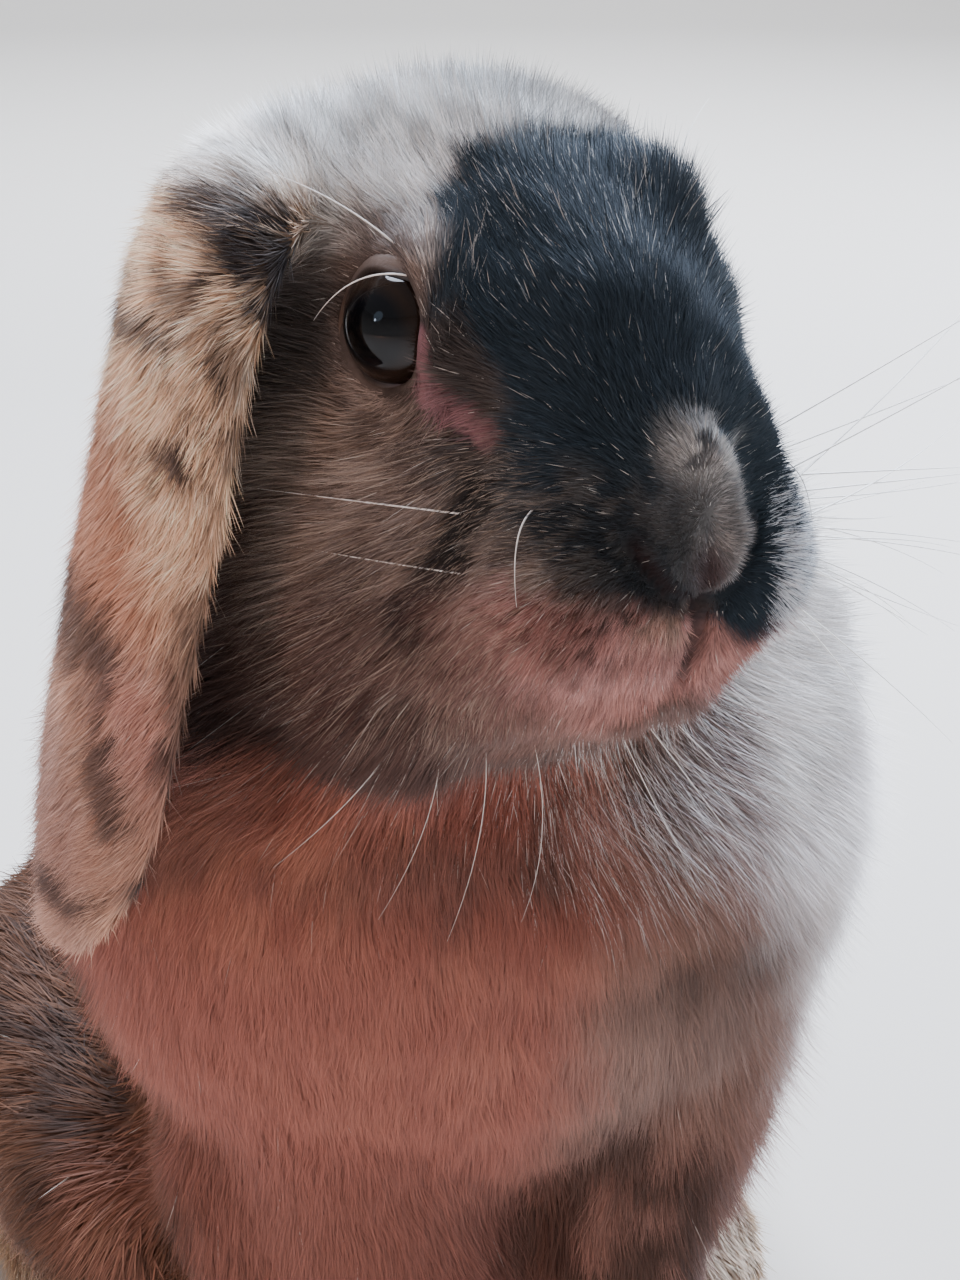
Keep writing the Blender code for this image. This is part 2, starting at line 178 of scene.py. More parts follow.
def grid_faces(rows: int, columns: int, looped: bool = False) -> Array:
    """Quads of a grid of points, row after row, whose last column joins the first.

    Args:
        rows: Number of rows of points.
        columns: Number of points in a row.
        looped: Whether the last row joins the first too.

    Returns:
        Four corner numbers for each quad.
    """
    row = np.arange(rows if looped else rows - 1)[:, None]
    row, below = row * columns, (row + 1) % rows * columns
    column = np.arange(columns)[None]
    after = (column + 1) % columns
    quads = [row + column, row + after, below + after, below + column]
    return np.stack(np.broadcast_arrays(*quads), axis=-1).reshape(-1, 4)


def fan(tip: int, ring: Array, turned: bool = False) -> Array:
    """Triangles from one point to each two neighbours on a ring, facing either way."""
    pair = [np.roll(ring, -1), ring] if turned else [ring, np.roll(ring, -1)]
    return np.stack([np.full(len(ring), tip), *pair], axis=1)


def rings(radius: Array, height: Array, sides: int) -> Array:
    """Points of level circles round the z axis, circle after circle."""
    turn = np.linspace(0, FULL_TURN, sides, endpoint=False)
    parts = np.outer(radius, np.cos(turn)), np.outer(radius, np.sin(turn))
    return np.stack([*parts, np.outer(height, np.ones(sides))], axis=-1).reshape(-1, 3)


def tube(path: Array, radii: Array, sides: int) -> Form:
    """A closed tube along a path: a circle of each radius, square to the path.

    Args:
        path: Places along the middle line, one per row.
        radii: The tube's radius at each place.
        sides: Number of points round the tube.

    Returns:
        The points and faces, with both ends drawn to a point.
    """
    along = unit(np.gradient(path, axis=0))
    across = unit(np.cross(along, [0.31, 0.17, 0.94]))[:, None]
    over = np.cross(across[:, 0], along)[:, None]
    turn = np.linspace(0, FULL_TURN, sides, endpoint=False)[None, :, None]
    ring = np.cos(turn) * across + np.sin(turn) * over
    points = (path[:, None] + ring * radii[:, None, None]).reshape(-1, 3)
    start = np.arange(sides)
    end = (len(path) - 1) * sides + start
    caps = [fan(len(points), start, True), fan(len(points) + 1, end)]
    return np.vstack([points, path[:1], path[-1:]]), [grid_faces(len(path), sides), np.concatenate(caps)]


def joined(parts: Iterable[Form]) -> Form:
    """Several forms as one, with the corner numbers moved along."""
    points, faces, count = [], {}, 0
    for part_points, part_faces in parts:
        for found in part_faces:
            faces.setdefault(found.shape[1], []).append(found + count)
        points.append(part_points)
        count += len(part_points)
    return np.vstack(points), [np.concatenate(group) for group in faces.values()]


def recalculate(made: Object) -> None:
    """Turns every face of a closed mesh outwards."""
    bm = bmesh.new()
    bm.from_mesh(made.data)
    bmesh.ops.recalc_face_normals(bm, faces=bm.faces)
    bm.to_mesh(made.data)
    bm.free()


def paint(made: Object, colours: Array) -> None:
    """Writes linear colours to the attribute "coat", one for each point of a mesh."""
    attribute = made.data.color_attributes.new("coat", "FLOAT_COLOR", "POINT")
    rgba = np.ones((len(colours), 4), np.float32)
    rgba[:, :3] = np.clip(colours, 0, 1)
    attribute.data.foreach_set("color", rgba.ravel())


def ride(made: Object, material: bpy.types.Material) -> Object:
    """Gives a piece its material and sets it on the still body."""
    made.data.materials.append(material)
    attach(made, "root")
    return made


# ---- finishes -------------------------------------------------------------------------
def add_node(tree: bpy.types.NodeTree, kind: str, links: dict | None = None, **settings) -> bpy.types.Node:
    """Adds a node with its settings and the links into it.

    Args:
        tree: The material's node tree.
        kind: The node's type.
        links: Input name or number to the output socket that feeds it.
        settings: Properties of the node, or values of its inputs by name.

    Returns:
        The node.
    """
    node = tree.nodes.new(kind)
    for name, value in settings.items():
        if hasattr(node, name):
            setattr(node, name, value)
        else:
            node.inputs[name.replace("_", " ")].default_value = value
    for name, socket in (links or {}).items():
        tree.links.new(socket, node.inputs[name])
    return node


def shaded(name: str, **inputs) -> tuple[bpy.types.Material, bpy.types.NodeTree, bpy.types.Node]:
    """A new material, its node tree and its shader, whose inputs are set by name."""
    material = bpy.data.materials.new(name)
    material.use_nodes = True
    shader = material.node_tree.nodes["Principled BSDF"]
    for socket, value in inputs.items():
        shader.inputs[socket.replace("_", " ")].default_value = value
    return material, material.node_tree, shader


@dataclass(frozen=True)
class Finish:
    """A surface: its colour attribute, how rough it is and how fine its relief.

    The relief is Noise of a real size, read in Object coordinates, through Bump.
    """

    name: str
    attribute: str = ""
    colour: str = "#808080"
    roughness: float = 0.6
    specular: float = 0.4
    sheen: float = 0.0
    grain: float = 0.0  # between the bumps, 0 for none
    height: float = 0.0
    mottle: float = 0.0  # share by which the colour varies at the grain's size

    def make(self) -> bpy.types.Material:
        """Builds the material with its nodes."""
        material, tree, shader = shaded(
            self.name,
            Base_Color=(*linear(self.colour), 1),
            Roughness=self.roughness,
            Specular_IOR_Level=self.specular,
            Sheen_Weight=self.sheen,
        )
        colour = None
        if self.attribute:
            colour = add_node(tree, "ShaderNodeAttribute", attribute_name=self.attribute).outputs["Color"]
        if self.grain:
            place = add_node(tree, "ShaderNodeTexCoord").outputs["Object"]
            scale = 1 / (self.grain * MM)
            grain = add_node(tree, "ShaderNodeTexNoise", {"Vector": place}, Scale=scale, Detail=3)
            grain = grain.outputs["Fac"]
            if self.height:
                bump = add_node(tree, "ShaderNodeBump", {"Height": grain}, Distance=self.height * MM)
                tree.links.new(bump.outputs["Normal"], shader.inputs["Normal"])
            if self.mottle and colour:
                limits = {"To_Min": 1 - self.mottle, "To_Max": 1 + self.mottle}
                spread = add_node(tree, "ShaderNodeMapRange", {"Value": grain}, **limits)
                links = {0: colour, "Scale": spread.outputs["Result"]}
                colour = add_node(tree, "ShaderNodeVectorMath", links, operation="SCALE").outputs["Vector"]
        if colour:
            tree.links.new(colour, shader.inputs["Base Color"])
        return material


# Rabbit hair is hollow keratin: a soft, wide highlight and a silky sheen along the coat.
HAIR = Finish("hair_keratin", "coat", roughness=0.66, specular=0.2, sheen=0.03, grain=1.1, mottle=0.14)
# Skin under the coat is matt and finely pored, and shows only in the partings.
SKIN = Finish("skin_dermis", "coat", roughness=0.75, specular=0.25, grain=0.5, height=0.12, mottle=0.2)
# Lid margins are bare, damp skin: fine folds and a slight gloss.
LID = Finish("lid_skin", "coat", roughness=0.42, specular=0.5, grain=0.45, height=0.06, mottle=0.15)
# Whiskers are thick bare hairs: smooth, pale and faintly glossy.
WHISKER = Finish("whisker_keratin", colour="#e9e6e0", roughness=0.35, specular=0.5)
# Claws are layered horn: dark at the root, with a dull polish.
CLAW = Finish("claw_horn", "coat", roughness=0.38, specular=0.5, grain=0.6, height=0.03, mottle=0.2)
# The floor is matt plaster, smooth at this scale.
PLASTER = Finish("matt_plaster", colour="#c4beb5", roughness=0.9, specular=0.2)


@dataclass(frozen=True)
class EyeFinish:
    """The globe: black pupil, dark brown iris, grey limbus, under a wet clear cornea.

    The colour follows the angle from the eye's axis, kept in the point attribute "angle".
    """

    places: tuple = (0.0, 0.36, 0.50, 0.78, 0.9)
    codes: tuple = ("#050506", "#07070a", "#1d130d", "#160f0c", "#1b1a1b")

    def make(self) -> bpy.types.Material:
        """Builds the material."""
        material, tree, shader = shaded("wet_cornea", Roughness=0.05, IOR=1.376)
        angle = add_node(tree, "ShaderNodeAttribute", attribute_name="angle")
        bands = add_node(tree, "ShaderNodeValToRGB", {"Fac": angle.outputs["Fac"]})
        elements = bands.color_ramp.elements
        while len(elements) < len(self.places):
            elements.new(0.5)
        for element, place, code in zip(elements, self.places, self.codes):
            element.position = place
            element.color = (*linear(code), 1)
        tree.links.new(bands.outputs["Color"], shader.inputs["Base Color"])
        return material


# ---- the head's own frame -------------------------------------------------------------
@dataclass
class HeadFrame:
    """Axes of the head, from the line of the eyes: +x to its left, -y to the nose, +z up.

    The origin lies behind and below the middle of the eye line, in the skull.
    """

    pitch: float = 4.0  # degrees, nose down
    eye_back: float = -5.0
    eye_up: float = 10.0

    def __post_init__(self) -> None:
        """Reads the eyes' places from the frame."""
        self.eyes = {side: self.middle(f"eye_{side}") for side, _ in SIDES}
        across = unit(self.eyes["left"] - self.eyes["right"])
        back = unit(np.cross([0, 0, 1], across))
        back = np.array(Matrix.Rotation(math.radians(self.pitch), 3, Vector(across))) @ back
        self.axes = np.stack([across, back, np.cross(across, back)])
        middle = 0.5 * (self.eyes["left"] + self.eyes["right"])
        self.origin = middle - np.array([0, self.eye_back, self.eye_up]) @ self.axes

    @staticmethod
    def middle(node: str) -> Array:
        """Middle of a node's box."""
        low, high = np.array(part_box(node))
        return 0.5 * (low + high) / MM

    def local(self, points: Array) -> Array:
        """Places from the model's frame to the head's."""
        return (points - self.origin) @ self.axes.T

    def model(self, points: Array) -> Array:
        """Places from the head's frame to the model's."""
        return np.asarray(points) @ self.axes + self.origin

    def turned(self, vectors: Array) -> Array:
        """Directions from the head's frame to the model's."""
        return np.asarray(vectors) @ self.axes


@dataclass(frozen=True)
class FaceRelief:
    """Heights of the nose, its folds, the cleft lip and the mouth, over the head's form.

    Places are in the head's frame; the outline pairs levels with the nose's half width there.
    """

    middle: float = -0.6
    levels: tuple = (-15.6, -13.4, -11.0, -8.0, -3.0, 1.0, 5.0)
    halves: tuple = (0.4, 4.4, 6.4, 8.0, 7.6, 6.2, 3.6)
    nose: float = 1.9
    fold: float = 1.7
    cleft: float = 3.0
    pad: float = 0.7
    mouth: float = 1.1
    # Bare skin from the eye's front corner down towards the nose.
    corner: tuple = ((21.9, -13.5, 11.0), (22.3, -15.5, 5.0), (20.2, -25.0, 2.5))

    def out_of_nose(self, h: Array) -> Array:
        """Distance sideways out of the nose's outline; inside it is negative."""
        return np.abs(h[:, 0] - self.middle) - np.interp(h[:, 2], self.levels, self.halves)

    def on_nose(self, h: Array, soft: Array | float) -> Array:
        """1 on the nose, 0 off it, with an edge of some softness."""
        _, y, z = h.T
        level = ramp(8, 2, z) * ramp(-16.5, -14.5, z) * ramp(-32, -37, y)
        return ramp(0.4, -soft, self.out_of_nose(h)) * level

    def folds(self, h: Array) -> Array:
        """1 in the slanting nostril folds and the cleft between the lips."""
        x, y, z = h.T
        fold = ramp(-5, -9, z) * ramp(-17.5, -15, z) * hill(self.out_of_nose(h), 0.7, 0.8)
        line = np.interp(z, [-30, -14], [0.9, -0.8])
        cleft = hill(x, line, 1.3) * ramp(-12, -15, z) * ramp(-29.5, -25.5, z)
        return ramp(-32, -38, y) * np.maximum(fold, cleft)

    def lips(self, h: Array) -> Array:
        """1 along the line of the mouth."""
        level = np.interp(h[:, 1], [-42, -38, -32, -24], [-34, -37.5, -42, -46])
        return hill(h[:, 2], level, 0.8) * ramp(-20, -26, h[:, 1])

    def height(self, h: Array) -> Array:
        """Height over the smooth form: nose and whisker pads up; folds, cleft and mouth down."""
        x, y, z = h.T
        furrow = hill(x, self.middle, 1.1) * ramp(-6, -10, z) * ramp(-16, -13, z) * ramp(-32, -38, y)
        total = self.nose * self.on_nose(h, 4.5 - 3 * ramp(-5, -9, z)) - 0.6 * furrow
        total += self.pad * blob(mirror(h), (10.5, -41, -20), (9, 11, 9), 0.6)
        depth = np.where(z < -14.5, self.cleft, self.fold)
        return total - depth * self.folds(h) - self.mouth * self.lips(h)

    def bare(self, h: Array) -> Array:
        """1 where the skin shows bare before the eyes, more on the right side than the left."""
        top, bend, end = self.corner
        near = np.minimum(to_segment(mirror(h), top, bend), to_segment(mirror(h), bend, end) * 0.8)
        near += 1.1 * (noise(h, 1.7, 51) - 0.5) + 0.9 * (noise(h, 3.9, 52) - 0.5)
        return ramp(2.7, 1.3, near) * np.where(h[:, 0] < 0, 1, 0.5)


# ---- the body's regions and their coat --------------------------------------------------
class Region(Enum):
    """Regions of the coat, each with the CAD nodes that it covers."""

    HEAD = ("head",)
    MUZZLE = ("muzzle",)
    EAR_RIGHT = ("ear_right",)
    EAR_LEFT = ("ear_left",)
    NECK = ("neck",)
    CHEST = ("chest",)
    TRUNK = ("loin", "rump")
    THIGH = ("thigh_left", "thigh_right")
    FORELEG = ("foreleg_left", "foreleg_right")
    FOREPAW = ("forepaw_left", "forepaw_right")
    HINDFOOT = ("hindfoot_left", "hindfoot_right")
    TAIL = ("tail",)

    @property
    def column(self) -> int:
        """The region's place in the table of weights."""
        return list(Region).index(self)

    def of(self, weights: Array) -> Array:
        """The region's share at each place."""
        return weights[:, self.column]


def head_of(weights: Array) -> Array:
    """Share of head and muzzle together at each place."""
    return Region.HEAD.of(weights) + Region.MUZZLE.of(weights)


@dataclass(frozen=True)
class CoatStyle:
    """One region's coat."""

    depth: float  # from the coat's tips to the skin
    length: float
    lift: float  # degrees off the skin at the root
    width: float
    density: float  # tufts per square millimetre
    root: float  # brightness of the root, as a share of the tuft's colour: partly the hair's own darker root, partly painted shade deep in the coat, and it darkens the skin too
    vary: float  # spread of the tufts' brightness


STYLES = {
    Region.HEAD: CoatStyle(2.2, 6.0, 22.0, 0.24, 20.0, 0.50, 0.20),
    Region.MUZZLE: CoatStyle(1.7, 3.4, 24.0, 0.21, 28.0, 0.52, 0.18),
    Region.EAR_RIGHT: CoatStyle(1.5, 5.0, 17.0, 0.26, 13.5, 0.62, 0.15),
    Region.EAR_LEFT: CoatStyle(1.5, 5.2, 16.0, 0.40, 7.0, 0.62, 0.14),
    Region.NECK: CoatStyle(4.6, 12.5, 22.0, 0.40, 5.6, 0.62, 0.14),
    Region.CHEST: CoatStyle(2.6, 9.0, 14.0, 0.24, 16.0, 0.84, 0.08),
    Region.TRUNK: CoatStyle(4.2, 13.0, 16.0, 0.42, 3.9, 0.64, 0.15),
    Region.THIGH: CoatStyle(3.4, 11.5, 14.0, 0.38, 4.4, 0.66, 0.14),
    Region.FORELEG: CoatStyle(2.7, 8.5, 17.0, 0.34, 5.6, 0.72, 0.12),
    Region.FOREPAW: CoatStyle(2.0, 5.5, 18.0, 0.36, 7.0, 0.66, 0.14),
    Region.HINDFOOT: CoatStyle(2.2, 6.5, 18.0, 0.42, 5.8, 0.66, 0.14),
    Region.TAIL: CoatStyle(6.0, 16.0, 30.0, 0.50, 4.2, 0.62, 0.16),
}


def styled(weights: Array, what: str) -> Array:
    """One size of the coat at each place, mixed from the regions' styles."""
    return weights @ np.array([getattr(STYLES[region], what) for region in Region])


# ---- the skin ---------------------------------------------------------------------------
@dataclass
class Skin:
    """The fused skin with the fields that the coat reads at each of its points."""

    head: HeadFrame
    relief: FaceRelief = field(default_factory=FaceRelief)
    voxel: float = 1.68  # in the swollen space, so about 0.8 in the face and 1.2 on the trunk
    swell_centre: tuple = (-5, -33, 0)
    swell_gain: float = 0.9
    swell_reach: float = 26.0
    overlap: float = 0.6  # growth of each solid, so that the parting cuts close
    rounds: int = 30  # of smoothing, which takes out the solids' facets
    brow_rounds: int = 45  # more of it over the left brow
    blend_rounds: int = 22  # of smoothing between the regions
    flow_rounds: int = 12  # of smoothing of the lie
    socket: float = 9.0  # radius of the bare socket round each eye's centre
    ground: float = 0.05  # the lowest level of the skin

    def build(self) -> Object:
        """Fuses, smooths and draws in the skin, and dresses it.

        Returns:
            The skin, which stands for every solid of flesh.
        """
        self.outer, self.faces = self.fused()
        self.edges = self.edges_of(self.faces)
        self.outer = self.evened(self.outer)
        brow = blob(self.head.local(self.outer), (10, -9, 25), (14, 14, 10), 0.9)[:, None]
        self.outer += brow * (self.relax(self.outer, self.brow_rounds) - self.outer)
        self.outer_normals = self.normals_of(self.outer)
        self.weights = self.region_weights()
        self.in_head = self.head.local(self.outer)
        self.length, self.lift, self.depth = (styled(self.weights, s) for s in ("length", "lift", "depth"))
        self.face_sizes()
        self.points = self.relax(self.outer - self.outer_normals * self.depth[:, None], 3)
        on_head = head_of(self.weights)
        height = self.relief.height(self.in_head) * ramp(0.3, 0.8, on_head) - self.toe_grooves()
        self.points = self.relax(self.points + self.normals_of(self.points) * height[:, None], 1)
        self.points[:, 2] = np.maximum(self.points[:, 2], self.ground)
        self.normals = self.normals_of(self.points)
        self.bare = self.relief.bare(self.in_head) * on_head
        self.flow = self.lie_of_coat()
        self.tree = BVHTree.FromPolygons(self.points.tolist(), self.faces.tolist())
        made = mesh_of("skin", self.points * MM, [self.faces])
        # The skin is painted darker by the roots' share, as painted shade under the coat; bare skin and the
        # folds keep their full colour.
        open_skin = np.maximum(self.bare, self.relief.folds(self.in_head))
        shown = np.maximum(styled(self.weights, "root"), open_skin)[:, None]
        paint(made, shown * Markings(self.head).colour(self.points, self.weights))
        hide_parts(*(name for region in Region for name in region.value))
        return ride(made, SKIN.make())

    def fused(self) -> tuple[Array, Array]:
        """Grows each solid of flesh a little and fuses them by a voxel remesh.

        Returns:
            The points and the quads.
        """
        whole = bmesh.new()
        for name in (name for region in Region for name in region.value):
            part = bmesh.new()
            part.from_mesh(bpy.data.objects[name].data)
            bmesh.ops.remove_doubles(part, verts=part.verts, dist=1e-6)
            part.normal_update()
            for vert in part.verts:
                vert.co += vert.normal * self.overlap * MM
            grown = bpy.data.meshes.new("grown")
            part.to_mesh(grown)
            whole.from_mesh(grown)
            part.free()
            bpy.data.meshes.remove(grown)
        mesh = bpy.data.meshes.new("fusing")
        whole.to_mesh(mesh)
        whole.free()
        before = np.array([vert.co for vert in mesh.vertices]) / MM
        mesh.vertices.foreach_set("co", (self.swollen(before) * MM).astype(np.float32).ravel())
        item = link("fusing", mesh)
        remesh = item.modifiers.new("fuse", "REMESH")
        remesh.mode = "VOXEL"
        remesh.voxel_size = self.voxel * MM
        evaluated = item.evaluated_get(bpy.context.evaluated_depsgraph_get())
        made = evaluated.to_mesh()
        points = np.empty(len(made.vertices) * 3, np.float32)
        made.vertices.foreach_get("co", points)
        corners = np.empty(len(made.loops), np.int32)
        made.loops.foreach_get("vertex_index", corners)
        evaluated.to_mesh_clear()
        bpy.data.objects.remove(item)
        points = self.swollen(points.reshape(-1, 3).astype(float) / MM, back=True)
        return points, corners.reshape(-1, 4)

    def swollen(self, points: Array, back: bool = False) -> Array:
        """Space blown up round the face, so that an even remesh comes out finer there.

        A place at distance r from the centre goes to r + gain * reach * tanh(r / reach).

        Args:
            points: Places.
            back: Whether to undo it.

        Returns:
            The moved places.
        """
        away = points - self.head.model(self.swell_centre)
        distance = np.linalg.norm(away, axis=1)
        plain = np.linspace(0, 500, 20001)
        grown = plain + self.swell_gain * self.swell_reach * np.tanh(plain / self.swell_reach)
        target = np.interp(distance, grown, plain) if back else np.interp(distance, plain, grown)
        return points + away * (target / np.maximum(distance, 1e-9) - 1)[:, None]

    @staticmethod
    def edges_of(faces: Array) -> Array:
        """Each edge of a closed quad mesh, in both directions, as pairs of points."""
        pairs = np.concatenate([faces[:, [i, (i + 1) % 4]] for i in range(4)])
        return np.concatenate([pairs, pairs[:, ::-1]])

    def neighbours(self, values: Array) -> Array:
        """Mean of each point's neighbours, for one number or several at each point."""
        count = np.bincount(self.edges[:, 0], minlength=len(values))
        columns = np.atleast_2d(values.T)
        sums = [np.bincount(self.edges[:, 0], c[self.edges[:, 1]], len(values)) for c in columns]
        mean = np.stack(sums, axis=1) / np.maximum(count, 1)[:, None]
        return mean if values.ndim > 1 else mean[:, 0]

    def evened(self, points: Array) -> Array:
        """Taubin smoothing: a step to the neighbours' mean, then a slightly longer one back."""
        for _ in range(self.rounds):
            for step in (0.5, -0.52):
                points = points + step * (self.neighbours(points) - points)
        return points

    def relax(self, values: Array, rounds: int) -> Array:
        """Plain smoothing towards the neighbours' mean."""
        for _ in range(rounds):
            values = values + 0.5 * (self.neighbours(values) - values)
        return values

    def normals_of(self, points: Array) -> Array:
        """Unit normals at the points: the sum of the cross products of the faces' diagonals."""
        a, b, c, d = (points[self.faces[:, i]] for i in range(4))
        across = np.cross(c - a, d - b)
        sums = [
            sum(np.bincount(self.faces[:, k], across[:, axis], len(points)) for k in range(4))
            for axis in range(3)
        ]
        return unit(np.stack(sums, axis=1))

    def region_weights(self) -> Array:
        """Share of each region at each point, from the nearest solid and then blended."""
        corners, triangles, owner = [], [], []
        for region in Region:
            for name in region.value:
                mesh, count = bpy.data.objects[name].data, len(corners)
                mesh.calc_loop_triangles()
                corners += [v.co / MM for v in mesh.vertices]
                triangles += [[i + count for i in t.vertices] for t in mesh.loop_triangles]
                owner += [region.column] * len(mesh.loop_triangles)
        tree = BVHTree.FromPolygons(corners, triangles)
        nearest = [owner[tree.find_nearest(Vector(p))[2]] for p in self.outer]
        weights = np.zeros((len(self.outer), len(Region)))
        weights[np.arange(len(nearest)), nearest] = 1
        return self.relax(weights, self.blend_rounds)

    def toe_grooves(self) -> Array:
        """Depth of the grooves between the toes, at each point of the outer form."""
        x, y, _ = self.outer.T
        depth = np.zeros(len(x))
        for region, spacing in ((Region.FOREPAW, 5.6), (Region.HINDFOOT, 7.0)):
            for node in region.value:
                low, high = box(node)
                inside = ramp(0.5, 0.9, region.of(self.weights)) * ramp(low[1] + 17, low[1] + 8, y)
                inside *= ramp(high[0] + 1, high[0], x) * ramp(low[0] - 1, low[0], x)
                for place in (-1, 0, 1):
                    middle = 0.5 * (low[0] + high[0]) + place * spacing
                    depth += 1.5 * inside * hill(x, middle, 0.9)
        return depth

    def eye_distance(self, points: Array) -> Array:
        """Distance to the nearer eye's centre."""
        return np.min([np.linalg.norm(points - eye, axis=1) for eye in self.head.eyes.values()], axis=0)

    def face_sizes(self) -> None:
        """Adjusts the coat: shortest at nose and lids, longest on jowls, ruff and breast."""
        h, on_head, chest = self.in_head, head_of(self.weights), Region.CHEST.of(self.weights)
        wide, (x, y, z) = np.abs(h[:, 0]), h.T
        outer_x, outer_y, outer_z = self.outer.T
        jowl = on_head * blob(h * [0, 1, 1], (0, 8, -32), (99, 30, 22)) * ramp(12, 24, wide)
        crown = on_head * ramp(21, 30, z) * ramp(-12, 4, y)
        crown = crown + 0.25 * Region.EAR_RIGHT.of(self.weights) * ramp(206, 220, outer_z)
        far_brow = on_head * ramp(7, 15, x) * ramp(15, 22, z) * ramp(-26, -19, y)
        far_brow *= 1 - np.minimum(crown, 1)
        ruff = (on_head + chest) * blob(self.outer, (15, -78, 133), (18, 26, 14), 0.8)
        cheek = on_head * ramp(9, 19, wide) * ramp(6, -8, z) * ramp(-27, -14, y)
        nose = on_head * blob(h, (-0.6, -46, -7), (11, 14, 12))
        near_eye = 1 - ramp(0, 9, self.eye_distance(self.outer) - self.socket + 1)
        pads = on_head * ramp(-26, -36, y) * ramp(2, -8, z)
        cleft = on_head * ramp(4.5, 1.5, wide) * ramp(-12, -15, z) * ramp(-30, -38, y)
        breast = chest * ramp(12, 40, outer_x) * ramp(-10, -34, outer_y)
        sole = ramp(-0.75, -0.95, self.outer_normals[:, 2]) * ramp(9, 5, outer_z)
        self.length += 3 * jowl + 2 * crown + 3 * cheek + 1.2 * far_brow + 5 * ruff
        self.length *= (1 - 0.55 * nose) * (1 - 0.72 * near_eye) * (1 - 0.45 * cleft)
        self.length = (self.length + 3 * breast) * (1 - 0.5 * sole)
        self.lift = (self.lift + 28 * crown + 5 * far_brow + 7 * ruff) * (1 - 0.35 * near_eye)
        self.lift += 12 * pads + 13 * breast
        self.depth = (self.depth + 1.2 * jowl + 2.9 * crown) * (1 - 0.6 * nose) * (1 - 0.8 * near_eye)
        self.depth = (self.depth + breast) * (1 - 0.7 * sole)

    def lie_of_coat(self) -> Array:
        """Unit direction in which the hair lies at each point, along the skin.

        On the head it runs from the nose backwards, on an ear outwards and then to its tip, on
        the trunk to the tail, and on the limbs down to the toes; the fields are blended by region.
        """
        p, n, (x, y, z) = self.points, self.normals, self.in_head.T
        side = ramp(10, 20, np.abs(x))
        down = 0.45 * side * ramp(6, -12, z) + 0.9 * side * ramp(12, 2, z) * hill(y, -26, 8)
        from_nose = unit(self.in_head - np.array([0, -60, -4])) - np.array([0, 0, 1]) * down[:, None]
        front, rear = ramp(0, -0.6, n[:, 1])[:, None], ramp(0, 0.5, n[:, 1])[:, None]
        breast = front * np.array([0, -0.1, -1]) + (1 - front) * np.array([0, 0.6, -0.8])
        low, high = box("tail")
        base = np.array([0.5 * (low[0] + high[0]), low[1] - 6, high[2] - 6])
        lies = {
            Region.HEAD: self.head.turned(from_nose),
            Region.MUZZLE: self.head.turned(from_nose),
            Region.NECK: breast,
            Region.CHEST: breast,
            Region.TRUNK: [0, 1, -0.35],
            Region.THIGH: [0, 0.55, -0.8],
            Region.FORELEG: [0, 0, -1],
            Region.FOREPAW: [0, -1, -0.45],
            Region.HINDFOOT: (1 - rear) * [0, -1, -0.25] + rear * [0, -0.1, -1],
            Region.TAIL: unit(p - base),
        }
        at_root = ramp(198, 216, p[:, 2])[:, None]
        for ear, outward in ((Region.EAR_RIGHT, -1), (Region.EAR_LEFT, 1)):
            down_ear = unit(self.tip_of(ear.value[0]) - p)
            lies[ear] = (1 - at_root) * down_ear + at_root * np.array([outward, 0.45, 0.05])
        flow = sum(region.of(self.weights)[:, None] * np.array(lie) for region, lie in lies.items())
        for _ in range(self.flow_rounds):
            flow = self.round_the_eyes(self.relax(flow, 1))
            flow = unit(flow - n * np.sum(flow * n, axis=1)[:, None])
        return flow

    def round_the_eyes(self, flow: Array) -> Array:
        """Takes out of the lie what runs towards an eye, close to it."""
        for eye in self.head.eyes.values():
            distance = np.linalg.norm(self.points - eye, axis=1)
            away = (self.points - eye) / distance[:, None]
            inward = np.minimum(np.sum(flow * away, axis=1) - 0.15, 0)
            flow = flow - (ramp(17, 11, distance) * inward)[:, None] * away
        return flow

    @staticmethod
    def tip_of(node: str) -> Array:
        """Lowest point of a hanging ear's solid, and a little beyond it."""
        corners = np.array([v.co for v in bpy.data.objects[node].data.vertices]) / MM
        return corners[corners[:, 2].argmin()] - [0, 0, 8]


